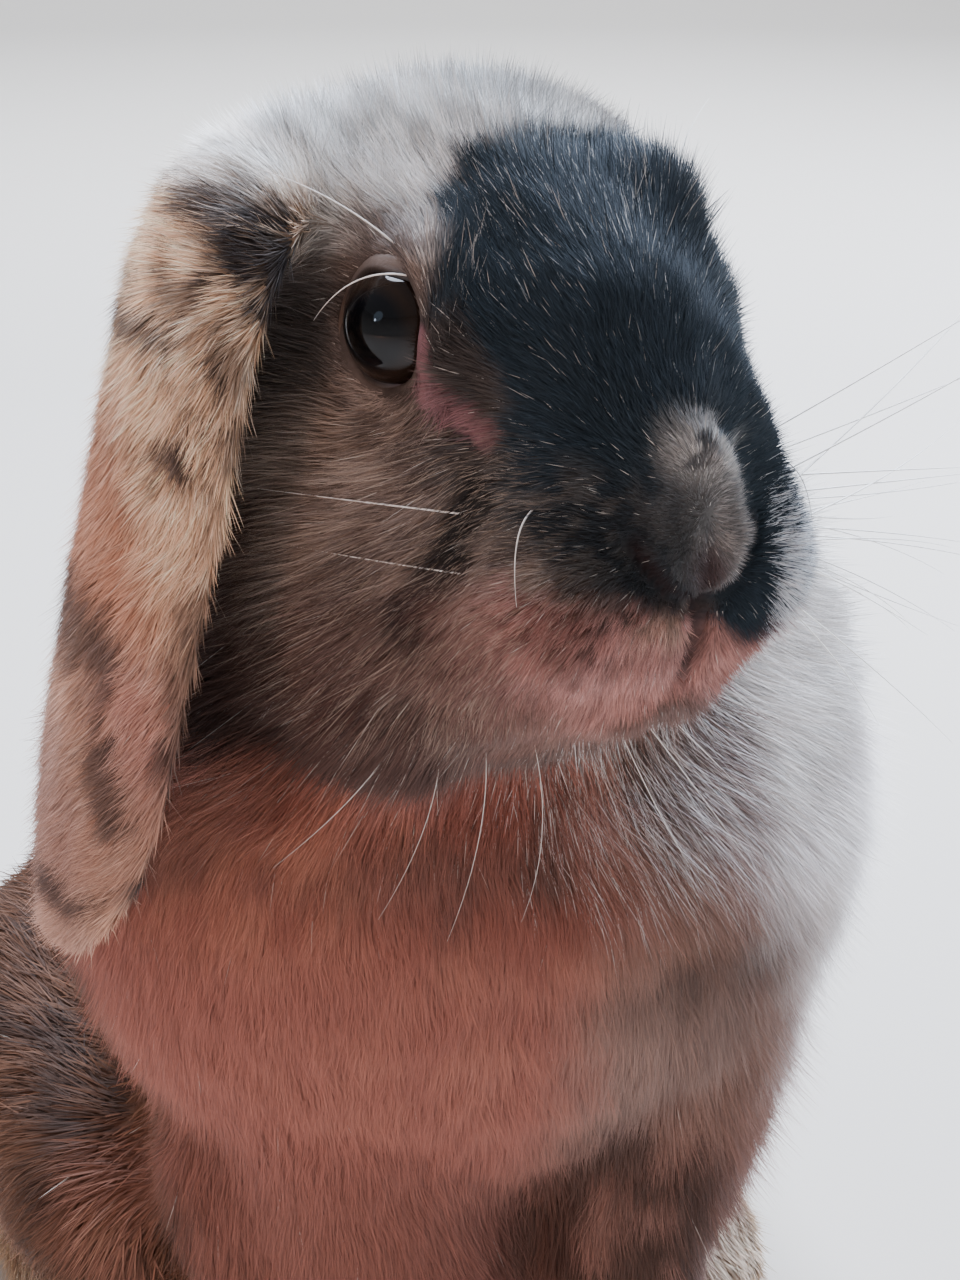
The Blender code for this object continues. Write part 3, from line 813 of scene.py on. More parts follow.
# ---- markings -------------------------------------------------------------------------
@dataclass
class Markings:
    """The pattern of the coat as one function of place, for skin and tufts alike, with some painted light and
    shade laid in it.
    """

    head: HeadFrame
    relief: FaceRelief = field(default_factory=FaceRelief)
    # The mask's own colour is near black; its blue-grey lift is painted cool sheen.
    mask: str = "#243039"
    cheek: str = "#7b6c64"
    frost: str = "#f6f6f3"
    ear: str = "#e6c2a2"
    # The breast's salmon is partly its own colour and partly painted warm bounce light.
    chest: str = "#945e52"
    flank: str = "#543828"
    sable: str = "#33231b"
    cream: str = "#cfbba6"
    lip: str = "#bd8c84"
    rose: str = "#785458"
    nose: str = "#94908d"
    # Smudges on the right ear, mirrored to the left: across, up, their radii and strength.
    smudges: tuple = (
        (-41.0, 213.0, 6.0, 7.5, 0.95),
        (-37.5, 205.0, 4.0, 9.0, 0.95),
        (-43.0, 219.0, 6.0, 3.0, 0.7),
        (-55.0, 204.0, 5.0, 2.0, 0.8),
        (-51.0, 208.0, 2.6, 2.8, 0.65),
        (-46.5, 199.5, 3.0, 6.0, 0.6),
        (-54.5, 189.4, 2.0, 2.3, 0.85),
        (-47.9, 190.6, 1.3, 2.6, 0.6),
        (-51.2, 186.6, 1.2, 2.0, 0.5),
        (-64.2, 165.0, 2.6, 8.0, 0.8),
        (-53.8, 171.0, 3.2, 3.6, 0.55),
        (-55.4, 162.5, 3.0, 6.5, 0.6),
        (-44.5, 214.5, 4.0, 4.0, 0.8),
        (-56.6, 152.0, 3.0, 5.0, 0.75),
        (-64.8, 148.5, 2.1, 7.0, 0.8),
        (-61.6, 134.5, 3.4, 2.2, 0.9),
        (-70.8, 131.0, 4.6, 2.6, 0.85),
    )
    # Soft patches of the breast, and of the face in the head's frame: centre, radii, colour, strength.
    breast_patches: tuple = (
        ((-27, -78, 126), (8, 30, 5), "#5a4842", 0.7),
        ((-20, -80, 124), (5, 30, 5), "#574540", 0.7),
        # This one is painted light, lightening the breast's upper left against the shade of the jaw and ear.
        ((-43, -70, 127), (18, 22, 12), "#b57d69", 0.9),
        ((-5, -80, 125), (4, 30, 8), "#5a4842", 0.65),
        ((12, -76, 130), (12, 30, 7), "#8a7068", 0.6),
        ((20, -80, 106), (13, 50, 9), "#54423b", 0.8),
        ((29, -70, 98), (8, 50, 12), "#6a574f", 0.6),
        ((-4, -85, 113), (20, 50, 5), "#b37d6a", 0.45),
        ((-20, -85, 94), (20, 50, 12), "#ad7562", 0.4),
    )
    face_patches: tuple = (
        ((10, 13, 34), (16, 9, 9), "#817c79", 0.7),
        # Painted shade along the ear's front edge, behind the eye.
        ((-27, 8, 4), (12, 8, 14), "#56504e", 0.85),
        ((-20.5, -2.5, 19), (9, 9, 7), "#5f5450", 0.85),
        ((-20.5, -29, -2), (6, 8, 8), "#3d3936", 0.9),
        ((-20, -22, 4), (5, 6, 5), "#47403c", 0.8),
        ((-26, -8, -27), (12, 14, 9), "#5d4a44", 0.6),
        # Painted light: the cheek by the ear lightened against the ear's shade.
        ((-28, 2, -8), (8, 9, 6), "#a08f82", 0.6),
        ((-29, -8, -16), (7, 8, 5), "#54453f", 0.6),
        ((-21, -21, 12), (6, 7, 8), "#2c2827", 0.85),
        ((-30, 6, -34), (12, 18, 12), "#4e3a35", 0.75),
        ((-24, -14, -34), (8, 12, 9), "#5d4640", 0.6),
        ((-23, -25, -6), (7, 4, 7), "#46403d", 0.85),
        ((-29, 0, -43), (11, 16, 8), "#3f2c27", 0.85),
    )

    def colour(self, points: Array, weights: Array) -> Array:
        """Linear colour at each place.

        Args:
            points: Places, one per row.
            weights: Share of each region at each place.

        Returns:
            Red, green and blue for each place.
        """
        base = (
            (self.cheek, (Region.HEAD, Region.MUZZLE)),
            (self.ear, (Region.EAR_RIGHT, Region.EAR_LEFT)),
            (self.flank, (Region.NECK, Region.TRUNK, Region.THIGH)),
            (self.chest, (Region.CHEST, Region.FORELEG)),
            (self.cream, (Region.FOREPAW, Region.HINDFOOT, Region.TAIL)),
        )
        codes = {region: code for code, group in base for region in group}
        self.laid = weights @ np.array([linear(codes[region]) for region in Region])
        self.broken = noise(points, 8, 3) * 0.5 + noise(points, 3.2, 4) * 0.5
        self.body(points, weights)
        self.ears(points, weights)
        self.face(self.head.local(points), head_of(weights) * (1 - self.hanging))
        return self.laid

    def lay(self, code: str, share: Array) -> None:
        """Lays a colour over what is laid so far, by a share from 0 to 1 at each place."""
        share = np.clip(share, 0, 1)[:, None]
        self.laid = self.laid * (1 - share) + linear(code) * share

    def lay_patches(self, points: Array, patches: tuple, edge: float, share: Array) -> None:
        """Lays soft patches.

        Args:
            points: Places in the patches' frame.
            patches: Centre, radii, colour and strength of each.
            edge: Width of their blur, as a share of the radii.
            share: Share from 0 to 1 for all of them at each place.
        """
        for centre, radii, code, strength in patches:
            self.lay(code, strength * share * blob(points, centre, radii, edge))

    def body(self, p: Array, weights: Array) -> None:
        """Trunk and limbs: brindled flanks, a warm breast and pale underside, with painted light and shade on
        breast, throat and knee.
        """
        (x, y, z), rough = p.T, self.broken - 0.5
        back = sum(r.of(weights) for r in (Region.TRUNK, Region.THIGH, Region.NECK, Region.TAIL))
        lie = p * [1, 0.45, 0.75]
        streaks = noise(lie, 9, 11) * 0.42 + noise(lie, 4.2, 12) * 0.30 + noise(lie, 1.3, 14) * 0.28
        brindle = 0.85 * ramp(0.50, 0.62, streaks)
        knee = blob(p, (-50, -28, 44), (16, 16, 18), 0.5)
        in_front = ramp(-20, -38, y)
        self.hanging = ramp(143, 139, z) * ramp(12, 4, x)
        hanging = Region.HEAD.of(weights) * ramp(150, 145, z)
        throat = Region.NECK.of(weights) * in_front + hanging
        chest = Region.CHEST.of(weights) + Region.FORELEG.of(weights) + throat
        fine = noise(p * [1, 1, 0.45], 2.6, 13)
        # Less brindle and a lighter coat at the knee are painted light in the shaded gap between thigh and
        # breast.
        self.lay(self.sable, back * brindle * (1 - 0.6 * knee))
        self.lay("#8a5f50", 0.7 * back * knee)
        self.lay(self.flank, Region.TAIL.of(weights) * ramp(30, 56, z + 20 * rough))
        self.lay("#8a6d5c", 0.8 * Region.HINDFOOT.of(weights) * ramp(12, 62, y + 26 * (streaks - 0.5)))
        self.lay("#9a7660", 0.35 * back * ramp(0.44, 0.30, streaks))
        self.lay(self.chest, throat)
        right = ramp(-7, 14, x + 12 * rough) * ramp(134, 122, z)
        self.lay("#8e766b", 0.85 * chest * right * in_front)
        self.lay("#7d5348", 0.6 * chest * ramp(88, 56, z) * in_front)
        self.lay_patches(p, self.breast_patches, 0.75, chest * ramp(0.60, 1.32, self.broken + fine))
        leg = blob(p, (19, -62, 50), (16, 34, 28), 0.5) * ramp(0.30, 0.56, self.broken)
        self.lay("#40302a", 0.85 * chest * leg)
        # The breast's pale right side: partly its own cream-white coat, partly painted rim light.
        edge = np.interp(z, [70, 86, 104, 114, 128, 136, 150], [46, 42, 38, 33, 26, 22, 24])
        lit = ramp(-9, 9, x - edge + 14 * rough + 5 * (fine - 0.5))
        lit *= ramp(152, 142, z) * ramp(60, 80, z) * ramp(0, -30, y)
        front = np.minimum(chest + hanging, 1)
        self.lay("#dbd8d6", 0.85 * lit * front)
        # Painted light under the chin, lifting the shade there.
        self.lay("#b38e83", 0.8 * front * blob(p, (17, -78, 134), (16, 30, 10), 0.7))
        shadow = ramp(142, 146, z + 7 * rough) * ramp(6, -6, x)
        self.lay("#40302c", 0.85 * np.minimum(throat, 1) * shadow)
        behind = ramp(-52, -24, y + 14 * rough) * np.minimum(3 * chest, 1)
        self.lay(self.flank, behind)
        self.lay(self.sable, behind * brindle)

    def ears(self, p: Array, weights: Array) -> None:
        """Ears: fawn with a dark patch at the root and smudges down the middle, with painted shade over the
        lower ear, its outer edge and its tip.
        """
        x, y, z = p.T
        right_ear, left_ear = Region.EAR_RIGHT.of(weights), Region.EAR_LEFT.of(weights)
        ear = right_ear + left_ear
        flecks = noise(p * [1, 1, 0.45], 1.9, 21) * 0.55 + noise(p * [1, 1, 0.5], 0.8, 22) * 0.45
        left = x > -20
        up = z - np.where(left, box("ear_left")[0, 2] - box("ear_right")[0, 2], 0)
        middle = np.interp(up, [128, 150, 165, 189, 210, 220], [-68, -61, -59, -52, -44, -40])
        across = np.where(left, middle + y - np.interp(z, [127, 224], [3, -45]), x)
        ragged = 0.8 * (noise(p * [1, 1, 0.5], 2.2, 23) - 0.5) + 0.9 * (noise(p * [1, 1, 0.6], 0.8, 24) - 0.5)
        root = left_ear * ramp(188, 212, z + 22 * ragged)
        for code, share in (
            ("#54463e", 0.85 * ear * (0.35 + 0.65 * ramp(176, 192, z)) * ramp(0.56, 0.74, flecks)),
            ("#eadbc4", 0.6 * ear * ramp(0.42, 0.28, flecks)),
            # Painted shade over the lower ear.
            ("#b17a68", 0.55 * ear * ramp(186, 158, up)),
            ("#a2686a", 0.45 * ear * blob(p * [1, 0, 1], (-61, 0, 157), (4, 99, 10), 0.7)),
            # Painted shade along the ear's outer edge.
            ("#b0745a", 0.75 * ear * ramp(-56, -61, across) * ramp(164, 172, up)),
            ("#a88d84", 0.5 * ear * ramp(-66, -69, across) * ramp(166, 158, up)),
            # Painted shade towards the tip.
            ("#86625a", 0.5 * ear * ramp(164, 140, up) * (1 - 0.6 * ramp(136, 130, up))),
            ("#747778", 0.9 * root),
            ("#b9bbbb", 0.8 * root * ramp(211, 220, z + 6 * ragged)),
        ):
            self.lay(code, share)
        for side, height, wide, high, share in self.smudges:
            reach = np.hypot((across - side) / wide, (up - height) / high) + ragged
            self.lay("#353030" if height > 196 else "#463936", share * ear * ramp(1.3, 0.55, reach))
        self.lay(self.frost, 0.85 * ramp(218, 223.5, up + 3 * ragged) * ramp(0.4, 0.9, right_ear))

    def face(self, h: Array, on: Array) -> None:
        """Face: a black mask over one side and the bridge, pale lips and a bare inner corner.
        Painted shade lies under the jaw, along the ear's front edge and in the folds of nose, lip
        and mouth; the cheek by the ear is painted lighter against the ear's shade.

        Args:
            h: Places in the head's frame.
            on: Share of the head at each place.
        """
        x, y, z = h.T
        ragged = 4 * (noise(h, 6, 31) - 0.5) + 3.5 * (noise(h, 2.4, 32) - 0.5)
        lie = np.array([0, 0.88, -0.475])
        along = h - 0.72 * (h @ lie)[:, None] * lie
        wisps = noise(along, 2.2, 33)
        frost = on * ramp(16, 24, z + 0.25 * y + ragged)
        locks = 0.5 * (wisps + noise(h * [1, 0.4, 0.7], 1.5, 36))
        for code, share in (
            ("#3d322d", 0.7 * on * ramp(0.47, 0.70, wisps)),
            ("#9a897b", 0.36 * on * ramp(0.44, 0.28, wisps) * ramp(8, -2, z)),
            (self.frost, frost),
            ("#67635f", frost * ramp(0.46, 0.60, locks) * (0.6 + 0.3 * ramp(4, 16, x))),
        ):
            self.lay(code, share)
        self.lay_patches(h, self.face_patches, 0.6, on * ramp(0.25, 0.42, self.broken))
        streak = to_segment(h, (-21.5, -26.5, -6), (-26, -20, -25))
        streak += 3 * (noise(h * [1, 0.7, 0.7], 1.8, 37) - 0.5)
        lips = ramp(-12, -18, z + ragged) * ramp(-24, -41, y + ragged)
        pepper = ramp(0.46, 0.62, noise(along * [1, 1, 0.7], 0.8, 34))
        near_lip = 0.35 + 0.65 * ramp(-9, -16, x) + 0.8 * ramp(-24, -17, z) * ramp(2, -6, x)
        jaw, near = on * ramp(-30, -42, z + ragged), ramp(-8, -20, x)
        # below marks the underside of the jaw, which gets painted shade.
        below = ramp(-45, -50, z + ragged) * ramp(8, -4, x) * ramp(-58, -54, z + ragged)
        border = np.interp(y, [-42, -39, -25, -15], [-30.5, -32, -42, -48])
        chin = ramp(0.8, -1.8, z - border + 0.4 * ragged) * ramp(-17, -10, x)
        start = np.interp(z, [-56, -47, -36, -20], [29, 25, 18, 15])
        far_cheek = ramp(0, 6, x - start + ragged) * ramp(-20, -27, z)
        edge = np.interp(y, [-46, -34, -26, -16, -12, -3, 2, 12], [-20, -20, -18.5, -20.5, -18, -13, -8, -4])
        floor = np.interp(x, [-20, -14, -7, 0, 6, 14, 24], [-9.5, -13.5, -16.5, -18, -23, -23.5, -22])
        rear = np.interp(z, [-20, 0, 20, 27, 34], [24, 20, 10, 4, -2])
        masked = on * ramp(-2, 2, x - edge + 0.8 * ragged) * ramp(-2, 2.5, z - floor + 0.7 * ragged)
        masked *= ramp(2.5, -2.5, y - rear + ragged)
        grey = blob(h, (-16, -39, -5), (7, 9, 6), 0.8) * ramp(0.42, 0.6, noise(along, 1.6, 38))
        tuft = blob(h, (-5, -44.5, -18.5), (5, 6, 2.8), 0.7) * ramp(0.35, 0.55, wisps)
        nose = on * self.relief.on_nose(h, 5)
        patchy = 0.62 + 0.38 * ramp(0.38, 0.58, noise(h * [1, 1, 0.45], 1.7, 35))
        melting = 1 - 0.8 * ramp(1.5, -7, x + 0.6 * ragged)
        rim = hill(self.relief.out_of_nose(h), -1, 1.3) * np.where(x > self.relief.middle, 1, 0.25)
        bridge = blob(h, (0.5, -44, 3.5), (5.5, 6, 3.6), 0.8) * ramp(0.3, 0.55, wisps)
        cleft = hill(x, self.relief.middle, 0.8) * ramp(-17, -19.5, z) * ramp(-30, -25, z)
        for code, share in (
            ("#1b1919", 0.9 * on * ramp(4.4, 1.8, streak)),
            ("#6b4c45", 0.6 * on * ramp(-14, -22, z) * ramp(-14, -26, y)),
            (self.lip, on * lips),
            ("#53403b", 0.75 * on * lips * near_lip * pepper),
            ("#7b544e", 0.75 * on * lips * ramp(-12, -18, x)),
            ("#8a5f58", 0.7 * on * lips * ramp(3, 9, x)),
            ("#7a594f", 0.6 * jaw * (1 - lips) * (1 - near)),
            ("#4c352f", 0.6 * jaw * near),
            # Painted shade under the jaw.
            ("#4a3833", 0.8 * on * below),
            ("#6a5953", 0.85 * on * chin),
            ("#dad6d2", 0.8 * on * far_cheek),
            (self.mask, masked),
            ("#343333", 0.5 * masked * ramp(4, -6, z) * ramp(4, -4, x)),
            ("#6b6560", 0.6 * on * grey),
            ("#b79c8a", 0.55 * on * tuft),
            (self.nose, 0.95 * nose * patchy * melting),
            ("#dcdad6", 0.9 * nose * rim * ramp(0.25, 0.5, wisps)),
            ("#b4b2ae", 0.8 * on * bridge),
            ("#4a3638", 0.85 * nose * blob(h, (-0.8, -46, -13), (3.5, 8, 4.5), 0.6)),
            # Painted shade in the cleft, the nostril folds and the line of the mouth.
            ("#452d2e", 0.8 * on * cleft * ramp(-36, -40, y)),
            ("#221415", on * self.relief.folds(h)),
            ("#4a2c28", 0.5 * on * self.relief.lips(h)),
            (self.rose, 0.9 * on * self.relief.bare(h)),
        ):
            self.lay(code, share)


# ---- the coat ---------------------------------------------------------------------------
@dataclass
class Unwrap:
    """Charts of the skin: each region seen along the axis that a face points to most.

    Every chart is a flat projection at true size. Charts are laid on shelves in a square.
    """

    skin: Skin
    margin: float = 4.0
    patch: float = 0.003  # across one tuft, in the map's own unit

    def __post_init__(self) -> None:
        """Sorts the skin's faces into charts and lays the charts out."""
        faces = self.skin.faces
        middle = self.skin.points[faces].mean(axis=1)
        normal = unit(self.skin.normals[faces].mean(axis=1))
        region = self.skin.weights[faces].mean(axis=1).argmax(axis=1)
        side = (middle[:, 0] > 0).astype(int)
        self.axis = np.abs(normal).argmax(axis=1)
        sign = (np.take_along_axis(normal, self.axis[:, None], 1)[:, 0] > 0).astype(int)
        self.chart = ((region * 2 + side) * 3 + self.axis) * 2 + sign
        self.offset = np.zeros((self.chart.max() + 1, 2))
        boxes = []
        for chart in np.unique(self.chart):
            picked = self.chart == chart
            flat = self.flat(middle[picked], self.axis[picked])
            low, high = flat.min(axis=0) - self.margin, flat.max(axis=0) + self.margin
            boxes.append((chart, low, high - low))
        boxes.sort(key=lambda found: -found[2][1])
        across = 1.25 * math.sqrt(sum(size[0] * size[1] for _, _, size in boxes))
        x = y = shelf = 0.0
        for chart, low, size in boxes:
            if x + size[0] > across:
                x, y, shelf = 0.0, y + shelf, 0.0
            self.offset[chart] = np.array([x, y]) - low
            x, shelf = x + size[0], max(shelf, size[1])
        self.scale = 1 / (max(across, y + shelf) * 1.01)

    @staticmethod
    def flat(points: Array, axis: Array) -> Array:
        """Places seen along their own axis: the two other coordinates."""
        return np.take_along_axis(points, np.array([[1, 2], [0, 2], [0, 1]])[axis], axis=1)

    def roots(self, points: Array, face: Array) -> Array:
        """Map coordinates of places on the skin's faces."""
        return (self.flat(points, self.axis[face]) + self.offset[self.chart[face]]) * self.scale


@dataclass
class Tufts:
    """Arrays with one row for each tuft of the coat."""

    root: Array
    normal: Array
    flow: Array
    length: Array
    lift: Array
    weights: Array
    uv: Array

    def picked(self, which: Array) -> "Tufts":
        """The tufts that a mask or an index array picks."""
        return Tufts(*(getattr(self, name)[which] for name in self.__dataclass_fields__))


class CoatPiece(Enum):
    """Groups of the coat: slot, regions, and whether the tufts are bent."""

    face = ("coat_face", (Region.HEAD, Region.MUZZLE), False)
    ears = ("coat_ear", (Region.EAR_RIGHT, Region.EAR_LEFT), False)
    breast = ("coat_chest", (Region.CHEST,), False)
    body = ("coat_body", (Region.TRUNK, Region.THIGH, Region.TAIL, Region.NECK), True)
    limbs = ("coat_body", (Region.FORELEG, Region.FOREPAW, Region.HINDFOOT), False)


@dataclass
class Coat:
    """Grows the tufts over the skin and makes them into pieces."""

    skin: Skin
    seed: int = 7
    limit: int = 190_000  # triangles in one piece
    floor: float = 0.2  # the lowest that a tuft reaches
    fuzz: float = 0.13  # share of finer tufts that stand off the rest

    def build(self) -> list[Object]:
        """Sows the tufts group by group and builds their meshes.

        Returns:
            The pieces of the coat.
        """
        self.rng = np.random.default_rng(self.seed)
        self.unwrap = Unwrap(self.skin)
        self.markings = Markings(self.skin.head)
        material = HAIR.make()
        made = []
        for group in CoatPiece:
            slot, regions, bent = group.value
            tufts = self.sown(regions)
            pieces = math.ceil(len(tufts.root) * (2 if bent else 1) / self.limit)
            order = np.argsort(tufts.root[:, 2], kind="stable")
            for number, part in enumerate(np.array_split(order, pieces), 1):
                piece = self.piece(f"coat_{group.name}_{number}", tufts.picked(part), bent)
                made.append(ride(piece, material))
            LOG.info("coat_%s: %d tufts in %d pieces", group.name, len(tufts.root), pieces)
        return made

    def sown(self, regions: tuple[Region, ...]) -> Tufts:
        """Sows tufts over the faces that belong most to some regions, by area and density."""
        skin, rng, faces = self.skin, self.rng, self.skin.faces
        weights = skin.weights[faces].mean(axis=1)
        here = np.flatnonzero(np.isin(weights.argmax(axis=1), [region.column for region in regions]))
        a, b, c, d = skin.points[faces[here]].transpose(1, 0, 2)
        area = 0.5 * np.linalg.norm(np.cross(c - a, d - b), axis=1)
        total = np.cumsum(area * styled(weights[here], "density"))
        count = int(total[-1])
        draw = (np.arange(count) + rng.random(count)) * total[-1] / count
        face = here[np.searchsorted(total, np.minimum(draw, total[-1] - 1e-9))]
        u, v = rng.random(count), rng.random(count)
        shares = np.stack([(1 - u) * (1 - v), u * (1 - v), u * v, (1 - u) * v], axis=1)

        def at(values: Array) -> Array:
            """Values of the points of each tuft's face, mixed at the tuft's root."""
            return np.einsum("tk,tk...->t...", shares, values[faces[face]])

        root = at(skin.points)
        tufts = Tufts(
            root=root,
            normal=unit(at(skin.normals)),
            flow=unit(at(skin.flow)),
            length=at(skin.length),
            lift=at(skin.lift),
            weights=at(skin.weights),
            uv=self.unwrap.roots(root, face),
        )
        clear = skin.eye_distance(root) > skin.socket
        clear &= rng.random(count) > 0.93 * at(skin.bare)
        clear &= skin.relief.folds(skin.head.local(root)) < 0.3
        return tufts.picked(clear)

    def piece(self, name: str, tufts: Tufts, bent: bool) -> Object:
        """Makes one mesh of tufts.

        A tuft is a narrow blade from its root to a point. It leaves the skin at its lift,
        turned about the normal by a wave that gathers neighbours into locks and by chance.
        A bent one starts at a point, is widest half-way and leans back down to the coat.

        Args:
            name: The piece's name.
            tufts: Its tufts.
            bent: Whether the tufts have two halves.

        Returns:
            The piece.
        """
        rng, count = self.rng, len(tufts.root)
        root, normal = tufts.root, tufts.normal
        stray = np.radians(rng.normal(0, 9, count))
        stray += 0.7 * (noise(root, 5, 41) - 0.5) + 0.5 * (noise(root, 2.2, 42) - 0.5)
        flow = np.cos(stray)[:, None] * tufts.flow + np.sin(stray)[:, None] * np.cross(normal, tufts.flow)
        roll = np.radians(rng.normal(0, 13, count))[:, None]
        side = np.cos(roll) * np.cross(normal, flow) + np.sin(roll) * normal
        fuzz = (rng.random(count) < self.fuzz).astype(float)
        length = (tufts.length * rng.uniform(0.65, 1.2, count) * (1 + 0.1 * fuzz))[:, None]
        lift = np.radians(tufts.lift * rng.uniform(0.55, 1.35, count) * (1 + 0.8 * fuzz))[:, None]
        width = styled(tufts.weights, "width") * rng.uniform(0.7, 1.3, count) * (1 - 0.35 * fuzz)
        half = 0.5 * width[:, None] * side
        start = flow * np.cos(lift) + normal * np.sin(lift)
        base = root - 0.3 * normal
        colours = self.shades(tufts)
        # Tufts that stand off are painted a quarter brighter: painted light on the hairs that catch the back
        # light.
        colours[:, 1:] *= 1 + 0.25 * fuzz[:, None, None]
        if bent:
            later = lift * rng.uniform(0, 0.5, count)[:, None]
            middle = base + 0.5 * length * start
            tip = middle + 0.5 * length * (flow * np.cos(later) + normal * np.sin(later))
            middle += 0.15 * (base - middle)
            rows, shade = [base, middle - half, middle + half, tip], [0, 1, 1, 2]
            spread = [(0.5, 0), (0, 0.45), (1, 0.45), (0.5, 1)]
            face = np.array([[0, 2, 1], [1, 2, 3]])
        else:
            rows, shade = [base - half, base + half, base + length * start], [0, 0, 2]
            spread = [(0, 0), (1, 0), (0.5, 1)]
            face = np.array([[0, 1, 2]])
        points = np.stack(rows, axis=1)
        points[..., 2] = np.maximum(points[..., 2], self.floor)
        corners = (face[None] + np.arange(count)[:, None, None] * len(rows)).reshape(-1, 3)
        made = mesh_of(name, points.reshape(-1, 3) * MM, [corners], smooth=False)
        paint(made, colours[:, shade].reshape(-1, 3))
        place = (tufts.uv[:, None] + self.unwrap.patch * (np.array(spread) - 0.5)[None]).reshape(-1, 2)
        layer = made.data.uv_layers.new(name="OFBake")
        layer.uv.foreach_set("vector", place[corners.ravel()].astype(np.float32).ravel())
        return made

    def shades(self, tufts: Tufts) -> Array:
        """Colours of each tuft at its root, middle and tip.

        The markings are read at the part of the tuft that shows, past its root. The root is
        darker, partly as the hair's own colour and partly as painted shade deep in the coat; the
        tip is lighter, and each tuft varies by chance. Some are white guard hairs. Tips are white
        over the brow and along the crest, and buff on the cheek. The white tips at the far lip and
        on the far side of the crest are painted rim light.

        Args:
            tufts: The tufts.

        Returns:
            Three colours for each tuft.
        """
        rng, count, weights = self.rng, len(tufts.root), tufts.weights
        shown = tufts.root + (0.6 * tufts.length)[:, None] * tufts.flow + 0.6 * tufts.normal
        colour = self.markings.colour(shown, weights)
        colour = colour * np.exp(rng.normal(0, 1, count) * styled(weights, "vary"))[:, None]
        on_face, (x, y, z) = head_of(weights), self.skin.head.local(shown).T
        brow = on_face * ramp(8, 20, z) * ramp(-30, -16, y)
        # far_lip marks the far lip's contour, where most tufts get white tips as painted rim light.
        far_lip = on_face * ramp(9.5, 14, x) * ramp(-14, -26, y) * ramp(-1, -17, z)
        ruff = blob(shown, (16, -80, 135), (19, 30, 14), 0.7)
        for odds, share, code in (
            (0.0005 + 0.0075 * on_face + 0.03 * brow, 0.65, "#d8d4cc"),
            (0.8 * far_lip, 0.7, "#e8ecf0"),
            (0.27 * ruff, 0.75, "#e4e2e0"),
        ):
            pale = rng.random(count) < odds
            colour[pale] = (1 - share) * colour[pale] + share * linear(code)
        tip = 1.15 * colour + 0.12 * linear("#d9d2c8") * colour.mean(axis=1, keepdims=True)
        # The crest's tips are white frost; the share on the far side, at x over 13, is painted rim light.
        crest = ramp(27.5, 34, z + 0.1 * y) + 0.2 * ramp(13, 20, x) * ramp(-38, -20, y)
        crest = np.clip(on_face * crest, 0, 1) * rng.uniform(0.3, 1, count)
        cheek = on_face * ramp(6, -4, z) * ramp(-14, -20, x) * ramp(-46, -40, z)
        buff = cheek * (rng.random(count) < 0.16)
        tip = tip + (crest * 0.75)[:, None] * (linear("#dfe8ec") - tip)
        tip = tip + (buff * 0.55)[:, None] * (linear("#c9b7a6") - tip)
        hanging = self.markings.hanging * Region.HEAD.of(weights)
        root = (styled(weights, "root") + 0.32 * hanging)[:, None]
        root = root + (1 - root) * 0.7 * ramp(0.25, 0.8, colour.mean(axis=1, keepdims=True))
        return np.stack([root * colour, (0.45 + 0.5 * root) * colour + 0.15 * tip, tip], axis=1)


